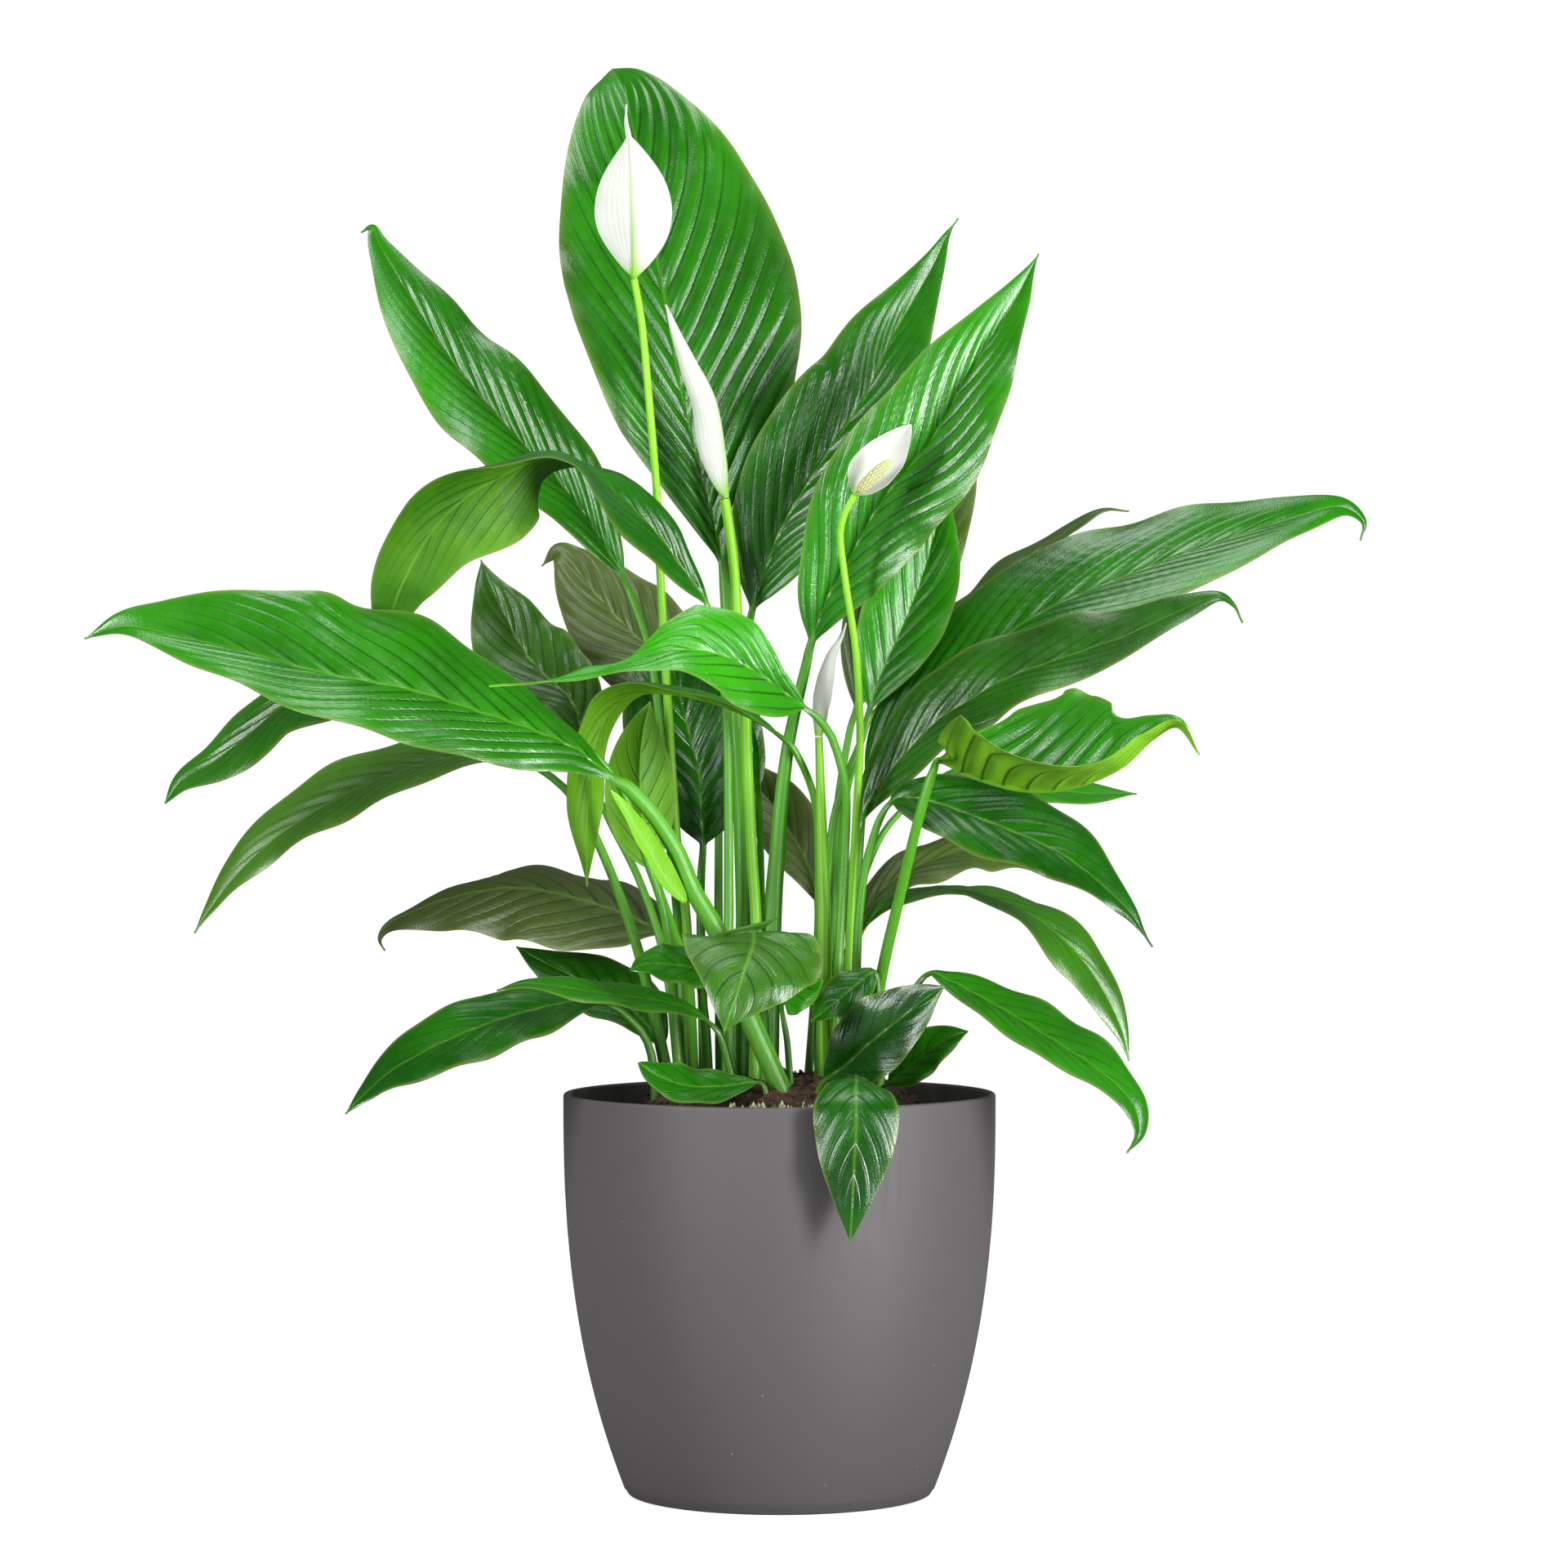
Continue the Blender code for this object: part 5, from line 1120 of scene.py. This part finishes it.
def leaf_rings(spec, seed):
    """All points of one leaf, ring by ring from foot to tip, and the marks for its material."""
    stalk = foot_below(spec["stalk"])
    route = smooth_route(np.vstack([stalk, seat(spec["rib"])]))
    along = lengths_along(route)
    base, total = along[SPAN_POINTS * len(stalk)], along[-1]
    length = total - base
    q = ring_places(base, total)
    even = np.linspace(0, total, FRAME_SAMPLES)
    turn = along_list(spec["turn"], (even - base) / length)
    sides = frames(at_lengths(route, along, even), turn)
    side, normal = (unit(at_lengths(vectors, even, q))[:, None] for vectors in sides)
    spine = (at_lengths(route, along, q)[:, None], side, normal)

    t = ((q - base) / length)[:, None]
    inside = np.clip(t, 0, 1)
    s = across_blade(max(LEAST_COLUMNS, round(spec["width"] / 2 / ACROSS_STEP)))
    half_width = np.maximum(spec["width"] / 2 * blade_outline(inside, spec["ends"]), TIP_WIDTH)
    neck = spec["stalk_radius"][-1] * NECK_WIDTH
    half_width = np.where(t < NECK_SHARE, np.maximum(half_width, neck), half_width)
    from_rib = np.abs(s) * half_width
    count = vein_count(inside, s, LEAST_VEINS + length / MM_PER_VEIN)
    spacing = vein_spacing(count, q, s * half_width)
    relief = blade_relief(spec, seed, length, inside, s, count, spacing)
    thick = BLADE_THICK / 2 * (1 - EDGE_THINNING * s**4)
    groove = CORD[0] * bell(from_rib, CORD[1]) - GROOVE[0] * bell(from_rib, GROOVE[1])
    blade = blade_skin(spine, blade_middle(spec, t, s, half_width), relief,
                       thick + groove * (1 - inside),
                       thick + midrib(inside, from_rib, RIB_THICK, RIB_WIDTH))

    columns = s.shape[1]
    angle = np.pi * (1 - (np.arange(columns) + 0.5) / columns)
    angle = np.concatenate([angle, angle - np.pi])[None, :]
    up_stalk = np.clip(q / base, 0, 1)[:, None]
    stem = tube(spine, stem_radius(spec, up_stalk, angle), angle)
    opened = np.clip((q - base + OPENING) / (OPENING + OPENING_SHARE * length), 0, 1)[:, None]
    opened = opened**2 * (3 - 2 * opened)
    rings = stem * (1 - opened[..., None]) + blade * opened[..., None]

    # The vein mark: where the creases lie, painted dark as shade in the colour and cut as a groove in
    # the bump
    vein = (1 - np.abs(s) ** 4) * np.clip(np.abs(s) / CREASE_RIB_GAP, 0, 1)
    vein = vein * np.clip((spacing - CREASE_FROM) / CREASE_RISE, 0, 1)
    rib_line = bell(from_rib, RIB_LINE_WIDTH + RIB_LINE_SHARE * spec["width"] * (1.05 - inside))
    shape = count.shape
    lower = np.concatenate([np.zeros(shape), np.ones(shape)], axis=1)
    marks = {"rib": two_faces(rib_line, shape), "vein": two_faces(vein, shape), "under": lower,
             "stalk": np.broadcast_to(1 - opened, lower.shape),
             "edge": two_faces(np.abs(s) ** EDGE_LINE_POWER, shape),
             "along": two_faces(count, shape),
             "across": two_faces(s * half_width * ACROSS_SCALE, shape),
             "fine": two_faces(np.clip(spacing / FINE_SPACING, 0, 1) ** 2, shape)}
    return rings, marks


def make_leaf(name, spec, seed):
    """One leaf in the place of its CAD node."""
    rings, marks = leaf_rings(spec, seed)
    # The listed tone is partly the leaf's own colour and partly painted shade and sheen
    tone_and_painted_light, olive = TONES_WITH_PAINTED_LIGHT.get(name, MIDDLE_TONE)
    leaf = build_rings(name + "_fine", rings, leaf_finish, {**marks, "tone_and_painted_light": tone_and_painted_light, "olive": olive})
    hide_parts(name)
    return len(leaf.data.polygons)


faces_made = [make_leaf(name, spec, seed) for seed, (name, spec) in enumerate(LEAVES.items())]
print(len(faces_made), "leaves,", sum(faces_made), "faces")

# %% [markdown]
# ## Bloom stalks
#
# A bloom's stalk is smooth, round and a fresher green than the leaves. It is a tube round its
# route with a few soft ribs, paler towards the bloom.

# %% Stalk material and tubes
STALK_SIDES = 28
TUBE_STEP = 5.0
STALK_RIBS = 7
STALK_RIB_SHARE = 0.03


def stalk_tissue():
    """Young stem tissue: satin, yellow-green, with fine lengthwise fibres."""
    material, tree = new_material("satin_stem_tissue")
    colour, fibres = stem_colour(tree, own_place(tree), (1400.0, 1400.0, 40.0), (0.2, 0.5),
                                 ("#3C8606", "#84D21C", "#A8E84A"))
    return coated(material, tree, {"Base Color": colour, "Roughness": 0.38, "IOR": 1.45,
                                   "Normal": bumped(tree, fibres, 0.3, 0.0002)})


stalk_finish = stalk_tissue()
around = even_angles(STALK_SIDES)[None, :]
for name, bloom in BLOOMS.items():
    points = foot_below(bloom["stalk"])
    rows = round(lengths_along(points)[-1] / TUBE_STEP)
    radius = along_list(bloom["stalk_radius"], np.linspace(0, 1, rows))[:, None]
    radius = radius * (1 + STALK_RIB_SHARE * np.cos(STALK_RIBS * around))
    skin = tube(even_spine(smooth_route(points), rows), radius, around)
    stalk = build_rings(name + "_stalk_fine", skin, stalk_finish)
    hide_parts(name + "_stalk")
print("bloom stalks:", len(BLOOMS))

# %% [markdown]
# ## The white spathe
#
# What looks like a petal is one white leaf, the spathe. It has a leaf's outline and midrib, but
# its veins run from base to tip beside the edge. It is thin and soft, so light goes into it a
# little way, and its rib and base stay green on the back.

# %% Spathes
SPATHE_VEINS = 7
SPATHE_VEIN_WIDTH = 0.12
SPATHE_VEIN_HEIGHT = 0.12
SPATHE_STEP = 0.9
SPATHE_COLUMNS = 24
SPATHE_NECK = 1.2
SPATHE_THINNING = 0.5
SPATHE_RIB_THICK = 1.0
SPATHE_RIB_WIDTH = 1.3
SPATHE_UNDULATION = 0.5
SPATHE_SEED = 3
VEINED_WIDTH = 8.0
GREEN_BASE = 0.07
GREEN_ABOVE = 0.7


def spathe_tissue():
    """Petal-like tissue: satin white with some light scattered inside, green along the back."""
    material, tree = new_material("soft_white_spathe")
    green, vein = mesh_mark(tree, "green"), mesh_mark(tree, "vein")
    white = mixed(tree, noise(tree, own_place(tree), 90.0, 4.0), "#C1C4BC", "#CFD2CC")
    for mark, cover, colour in ((vein, 0.16, "#CFDCB8"), (green, 1.0, "#8CC83C")):
        white = mixed(tree, worked_out(tree, "MULTIPLY", mark, cover), white, colour)
    return coated(material, tree, {
        "Base Color": white, "Roughness": 0.5, "IOR": 1.4,
        "Normal": bumped(tree, vein, 0.35, 0.0002, invert=True),
        "Subsurface Weight": 0.2, "Subsurface Radius": (0.002, 0.0022, 0.0012),
        "Subsurface Scale": 1.0})


def spathe_rings(spec):
    """A blade without a stalk whose veins are lines of equal |s|, from base to tip."""
    route = smooth_route(seat(spec["rib"]))
    rows = round(lengths_along(route)[-1] / SPATHE_STEP)
    t = np.linspace(0, 1, rows)[:, None]
    s = across_blade(SPATHE_COLUMNS)
    half_width = np.maximum(spec["width"] / 2 * blade_outline(t, spec["ends"]), TIP_WIDTH)
    half_width = np.maximum(half_width, SPATHE_NECK * (t < NECK_SHARE))
    from_rib = np.abs(s) * half_width
    near = np.abs((np.abs(s) * SPATHE_VEINS + 0.5) % 1 - 0.5)
    vein = bell(near, SPATHE_VEIN_WIDTH) * np.clip(half_width / VEINED_WIDTH, 0, 1)
    vein = vein * (1 - np.abs(s) ** 4)
    relief = SPATHE_VEIN_HEIGHT * vein + undulation(t, s, SPATHE_UNDULATION, SPATHE_SEED)
    thick = BLADE_THICK / 2 * (1 - SPATHE_THINNING * s**4)
    rings = blade_skin(even_spine(route, rows, spec["turn"]), blade_middle(spec, t, s, half_width),
                       relief, thick, thick + midrib(t, from_rib, SPATHE_RIB_THICK, SPATHE_RIB_WIDTH))
    back = bell(from_rib, SPATHE_RIB_WIDTH * (1.1 - t)) * (1 - t) ** 1.2
    at_base = bell(t, GREEN_BASE) * np.ones_like(s)
    below = np.clip(back + at_base, 0, 1)[:, ::-1]
    green = np.concatenate([GREEN_ABOVE * at_base, below], axis=1)
    return rings, {"green": green, "vein": two_faces(vein, vein.shape)}


spathe_finish = spathe_tissue()
open_blooms = {name: bloom for name, bloom in BLOOMS.items() if "spike" in bloom}
for name, bloom in open_blooms.items():
    rings, marks = spathe_rings(bloom)
    spathe = build_rings(name + "_spathe_fine", rings, spathe_finish, marks)
    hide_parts(name + "_spathe")
    print(name, "spathe:", len(spathe.data.polygons), "faces")

# %% [markdown]
# ## The spadix and the bud
#
# The spike is packed with tiny flowers that stand in two crossing sets of spirals. Two crossing
# waves multiplied together give such a lattice of knobs. The closed bud is a spathe rolled round
# its spike, with its free edge winding up it as a low step.

# %% Spadix
KNOBS_AROUND = 11
KNOB_SPACING = 2.4
SPIKE_STEP = 0.36
SPIKE_COLUMNS = 110
SPIKE_NECK_RADIUS = 0.9
NECK_BLEND = 0.06
ROUND_FROM = 0.88
SPIKE_TAPER = 0.45
KNOB_SHARE = 0.2


def spike_tissue():
    """Packed pollen-bearing florets: matt cream, greener in the gaps."""
    material, tree = new_material("matt_cream_florets")
    dust = noise(tree, own_place(tree), 1500.0, 3.0)
    cream = mixed(tree, mesh_mark(tree, "knob"), "#8C9A48", "#D8D4A0")
    colour = mixed(tree, worked_out(tree, "MULTIPLY", dust, 0.3), cream, "#F6F0D0")
    return coated(material, tree, {"Base Color": colour, "Roughness": 0.8,
                                   "Normal": bumped(tree, dust, 0.4, 0.0003)})


def spadix_rings(bloom):
    """A rod with knobs of height (0.25 (1 + cos(n a + h)) (1 + cos(n a - h)))^0.6 over its neck."""
    points = seat(bloom["spike"])
    route = smooth_route(points)
    rows = round(lengths_along(points)[-1] / SPIKE_STEP)
    spiral = KNOBS_AROUND * even_angles(SPIKE_COLUMNS)[None, :]
    t = np.linspace(0, 1, rows)[:, None]
    rod = np.clip((t - bloom["neck"]) / (1 - bloom["neck"]), 0, 1)
    swell = np.clip((t - bloom["neck"] + NECK_BLEND / 2) / NECK_BLEND, 0, 1)
    rounded = np.clip((rod - ROUND_FROM) / (1 - ROUND_FROM), 0, 1)
    body = bloom["spike_radius"] * (1 - np.abs(2 * rod - 0.9) ** 4 * SPIKE_TAPER)
    body = body * np.sqrt(np.clip(1.02 - rounded**2, 0, 1))
    rise = np.pi * lengths_along(route)[-1] / KNOB_SPACING * t
    knob = (0.25 * (1 + np.cos(spiral + rise)) * (1 + np.cos(spiral - rise))) ** 0.6
    radius = SPIKE_NECK_RADIUS * (1 - swell) + swell * body * (0.9 + KNOB_SHARE * knob)
    return tube(even_spine(route, rows), radius, even_angles(SPIKE_COLUMNS)[None, :]), knob * swell


spike_finish = spike_tissue()
for name, bloom in open_blooms.items():
    rings, knob = spadix_rings(bloom)
    spike = build_rings(name + "_spadix_fine", rings, spike_finish, {"knob": knob})
    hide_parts(name + "_spadix")
print("spikes:", len(open_blooms))

# %% Bud
BUD_ROWS = 90
BUD_COLUMNS = 64
# Shares of the bud's radius from base to tip
BUD_PROFILE = (0.42, 0.85, 1.0, 0.9, 0.6, 0.3, 0.1)
BUD_EDGE_START = 1.2
BUD_EDGE_WINDING = 3.4
BUD_EDGE_STEP = 0.12
BUD_GREEN_BASE = 0.13
BUD_GREEN_TIP = 0.3

bud = BLOOMS["bloom_4"]
t = np.linspace(0, 1, BUD_ROWS)[:, None]
turn = even_angles(BUD_COLUMNS)[None, :]
wound = ((turn + BUD_EDGE_START - BUD_EDGE_WINDING * t) % (2 * np.pi)) / (2 * np.pi)
radius = bud["bud_radius"] * along_list(BUD_PROFILE, t) * (1 + BUD_EDGE_STEP * (wound - 0.5))
skin = tube(even_spine(smooth_route(seat(bud["bud"])), BUD_ROWS), radius, turn)
green_tip = BUD_GREEN_TIP * np.clip((t - 1 + BUD_GREEN_TIP) / BUD_GREEN_TIP, 0, 1)
green = np.clip(bell(t, BUD_GREEN_BASE) + green_tip, 0, 1)
piece = build_rings("bloom_4_bud_fine", skin, spathe_finish,
                    {"green": np.repeat(green, BUD_COLUMNS), "vein": 0.0})
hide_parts("bloom_4_bud")
print("bud:", len(piece.data.polygons), "faces")

# %% [markdown]
# ## The pot
#
# The pot is moulded in a matt plastic with a little plant fibre in it, which leaves fine upright
# streaks and a few tan flecks. Its form is one profile turned about the axis: the wall leaves the
# upright with a power of the depth below the rim, and a rounded lip joins outside and inside.

# %% Pot
POT_SIDES = 144
POT_ROWS = 48
POT_ROW_START = 3.0
POT_ROW_END = 1.6
# The rounded foot: how far in from the wall, and how high
FOOT_CURVE = ((1.6, 0.0), (0.9, 0.2), (0.4, 0.8), (0.1, 1.7))
LIP_RADIUS = POT_WALL / 2
LIP_POINTS = 9
LIP_START = 0.1
FLOOR_CORNER = 1.0


def pot_plastic():
    """Moulded polypropylene: matt anthracite, with flow streaks and light flecks."""
    material, tree = new_material("moulded_matt_polypropylene")
    place = own_place(tree)
    streaks = noise(tree, stretched(tree, place, (420.0, 420.0, 14.0)), 1.0, 4.0)
    grey = mixed(tree, noise(tree, place, 9.0, 3.0), "#504D4E", "#585556")
    grey = mixed(tree, remapped(tree, streaks, 0.35, 0.65, 0.5, 0.0), grey, "#535152")
    fleck = add_node(tree, "TexVoronoi", {"Vector": place, "Scale": 130.0, "Randomness": 1.0}).outputs
    near = remapped(tree, fleck["Distance"], 0.05, 0.09, 1.0, 0.0)
    pick = add_node(tree, "SeparateColor", {0: fleck["Color"]}).outputs[0]
    spot = worked_out(tree, "MULTIPLY", near, worked_out(tree, "GREATER_THAN", pick, 0.93))
    colour = mixed(tree, worked_out(tree, "MULTIPLY", spot, 0.55), grey, "#A8937C")
    rough = remapped(tree, streaks, 0.0, 1.0, 0.5, 0.66)
    grain = noise(tree, place, 1800.0, 2.0)
    return coated(material, tree, {"Base Color": colour, "Roughness": rough, "IOR": 1.49,
                                   "Normal": bumped(tree, grain, 0.25, 0.00015)})


def wall_radius(z):
    """Rim radius minus (rim - foot) * (1 - z / height) ^ taper."""
    depth = np.clip(1 - z / POT_HEIGHT, 0, 1)
    return POT_RIM_RADIUS - (POT_RIM_RADIUS - POT_FOOT_RADIUS) * depth**POT_TAPER


def turned_body(profile, sides):
    """Each (radius, z) of the profile carried round the axis."""
    angle = even_angles(sides)
    radius, z = np.array(profile).T[:, :, None]
    return np.stack([radius * np.cos(angle), radius * np.sin(angle), z + 0 * angle], axis=-1)


heights = np.linspace(POT_ROW_START, POT_HEIGHT - POT_ROW_END, POT_ROWS)
outer = [(wall_radius(0) - inward, z) for inward, z in FOOT_CURVE]
outer += [(wall_radius(z), z) for z in heights]
bow = np.linspace(LIP_START, np.pi - LIP_START, LIP_POINTS)
lip = [(POT_RIM_RADIUS - LIP_RADIUS + LIP_RADIUS * np.cos(a),
        POT_HEIGHT - LIP_RADIUS + LIP_RADIUS * np.sin(a)) for a in bow]
inner = [(wall_radius(z) - POT_WALL, z) for z in heights[::-1]]
inner += [(wall_radius(POT_FLOOR) - POT_WALL - FLOOR_CORNER, POT_FLOOR)]
pot = build_rings("pot_fine", turned_body(outer + lip + inner, POT_SIDES), pot_plastic())
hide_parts("pot")
print("pot:", len(pot.data.polygons), "faces")

# %% [markdown]
# ## The soil
#
# Peat is a fine brown crumb with fibres and lumps. The body of the soil is the same mound as the
# solid, roughened by seeded waves of many sizes, and small clods lie loose on it.

# %% Soil
SOIL_SIDES = 200
SOIL_ROWS = 70
SOIL_SIDE_GAP = 0.5
SOIL_CORNER = 1.3
INNERMOST_RING = 1.0
CALM_WIDTH = 3.0
# Heights of the rings below the surface: the first, a limit and the step
LOW_RINGS = (18, 180, 9)
ROUGH_SEED = 11
# Wavelength and height of each set of waves, in mm
ROUGH_WAVES = ((34, 0.9), (21, 0.7), (13, 0.55), (8, 0.45), (5, 0.35), (3.3, 0.3))


def peat():
    """Peat: dark brown crumb with lighter fibres, fully matt."""
    material, tree = new_material("crumbly_peat")
    place = own_place(tree)
    crumb = noise(tree, place, 420.0, 6.0, Roughness=0.7)
    dark = mixed(tree, noise(tree, place, 60.0, 4.0), "#1E120B", "#43281A")
    colour = mixed(tree, remapped(tree, crumb, 0.5, 0.72), dark, "#7A4E34")
    return coated(material, tree, {"Base Color": colour, "Roughness": 0.95,
                                   "Normal": bumped(tree, crumb, 0.9, 0.0012)})


def rough_ground(x, y):
    """Sum of seeded sines in x and y whose heights fall with their wavelength."""
    draw = np.random.default_rng(ROUGH_SEED)
    total = 0.0 * x
    for wavelength, height in ROUGH_WAVES:
        for _ in range(4):
            heading, phase = draw.uniform(0, 2 * np.pi, 2)
            u = (x * np.cos(heading) + y * np.sin(heading)) / wavelength
            total = total + height * 0.5 * np.sin(2 * np.pi * u + phase)
    return total


soil_finish = peat()
edge = wall_radius(POT_HEIGHT - SOIL_DROP) - POT_WALL - SOIL_SIDE_GAP
radius = np.linspace(edge, INNERMOST_RING, SOIL_ROWS)[:, None]
angle = even_angles(SOIL_SIDES)[None, :]
x, y = radius * np.cos(angle), radius * np.sin(angle)
calm = np.clip((edge - radius) / CALM_WIDTH, 0, 1)
top = np.stack([x, y, soil_height(radius) + calm * rough_ground(x, y)], axis=-1)
bottom = POT_FLOOR + SOIL_GAP
low = [(wall_radius(bottom) - POT_WALL - SOIL_CORNER, bottom)]
low += [(wall_radius(z) - POT_WALL - SOIL_SIDE_GAP, z) for z in range(*LOW_RINGS)]
soil_rings = np.concatenate([turned_body(low, SOIL_SIDES), top])
soil = build_rings("soil_fine", soil_rings, soil_finish, sharp_angle=ALL_SMOOTH)
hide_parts("soil")
print("soil:", len(soil.data.polygons), "faces")

# %% Loose clods
CLODS = 1500
CLOD_SEED = 7
CLOD_MARGIN = 4.0
CLOD_LEAST = 0.7
CLOD_SPREAD = 1.9
CLOD_REACH = (0.55, 1.25)
CLOD_SKEW = 0.3
CLOD_LIFT = 0.3
LUMP_CORNERS = np.array([[1, 0, 0], [-1, 0, 0], [0, 1, 0], [0, -1, 0], [0, 0, 1], [0, 0, -1]], float)
LUMP_FACES = np.array([[0, 2, 4], [2, 1, 4], [1, 3, 4], [3, 0, 4], [2, 0, 5], [1, 2, 5], [3, 1, 5],
                       [0, 3, 5]])


def build_lumps(name, shape, size, place, finish):
    """Small eight-sided lumps in one mesh: each its own shape times its size, at its place."""
    points = shape * size[:, None, None] + np.stack(place, -1)[:, None]
    triangles = LUMP_FACES[None] + len(LUMP_CORNERS) * np.arange(len(size))[:, None, None]
    return build_piece(name, points.reshape(-1, 3), [triangles.reshape(-1, 3)], finish,
                       sharp_angle=ALL_SMOOTH)


draw = np.random.default_rng(CLOD_SEED)
clod_radius = np.sqrt(draw.uniform(0, 1, CLODS)) * (edge - CLOD_MARGIN)
clod_angle = draw.uniform(0, 2 * np.pi, CLODS)
x, y = clod_radius * np.cos(clod_angle), clod_radius * np.sin(clod_angle)
size = CLOD_LEAST + CLOD_SPREAD * draw.uniform(0, 1, CLODS) ** 3
z = soil_height(clod_radius) + rough_ground(x, y) + size * CLOD_LIFT
shape = LUMP_CORNERS[None] * draw.uniform(*CLOD_REACH, (CLODS, 6, 1))
shape = shape + draw.uniform(-CLOD_SKEW, CLOD_SKEW, (CLODS, 6, 3))
clods = build_lumps("soil_crumbs", shape, size, (x, y, z), soil_finish)
print("clods:", CLODS)

# %% [markdown]
# ## Moss and a sheath
#
# A cushion of pale, dry moss grows up the inside of the wall at the front, and its ragged top
# just shows over the rim. Beside the long left leaf's stalk stands the free end of its sheath.

# %% Moss cushion
MOSS_STRANDS = 700
MOSS_SPAN = (-24, 20)
MOSS_FOOT = 182.0
MOSS_FROM_WALL = 4.0
MOSS_DEPTH = 5.0
MOSS_INNER_FACE = 103.0
MOSS_RAGGED = 1.6
MOSS_FALL = 0.9
STRAND_SIZES = (0.7, 1.3)
STRAND_REACH = (0.5, 1.2)
STRAND_FORM = (0.6, 0.6, 1.7)


def dry_moss():
    """Half-dry moss: matt, in patches from grey-green to nearly white."""
    material, tree = new_material("half_dry_moss")
    patch = remapped(tree, noise(tree, own_place(tree), 500.0, 3.0), 0.35, 0.65)
    return coated(material, tree, {"Base Color": mixed(tree, patch, "#5E6E3A", "#C4CCA8"),
                                   "Roughness": 0.9})


share = draw.uniform(0, 1, MOSS_STRANDS)
x = draw.uniform(*MOSS_SPAN, MOSS_STRANDS)
inward = MOSS_FROM_WALL + MOSS_DEPTH * draw.uniform(0, 1, MOSS_STRANDS)
y = inward - np.sqrt(POT_RIM_RADIUS**2 - x**2)
ragged = MOSS_RAGGED * np.sin(x * 0.9) * np.sin(x * 0.37 + 1)
top = POT_HEIGHT + ragged - MOSS_FALL * ((y + MOSS_INNER_FACE) / MOSS_DEPTH) ** 2
z = MOSS_FOOT + (top - MOSS_FOOT) * np.sqrt(share)
size = draw.uniform(*STRAND_SIZES, MOSS_STRANDS)
shape = LUMP_CORNERS[None] * draw.uniform(*STRAND_REACH, (MOSS_STRANDS, 6, 1)) * STRAND_FORM
moss = build_lumps("moss_cushion", shape, size, (x, y, z), dry_moss())
print("moss strands:", MOSS_STRANDS)

# %% Sheath beside the long left leaf's stalk
SHEATH = dict(
    rib=[(-48, -58, 300), (-57, -61, 311), (-67, -64, 328), (-79, -68, 347), (-86, -70, 357)],
    width=13, turn=(-20, -26, -30), fold=(24, 24), arch=-24, ends=(0.5, 0.8))
rings, _ = spathe_rings(SHEATH)
sheath = build_rings("leaf_06_sheath", rings, stalk_finish)
print("sheath:", len(sheath.data.polygons), "faces")
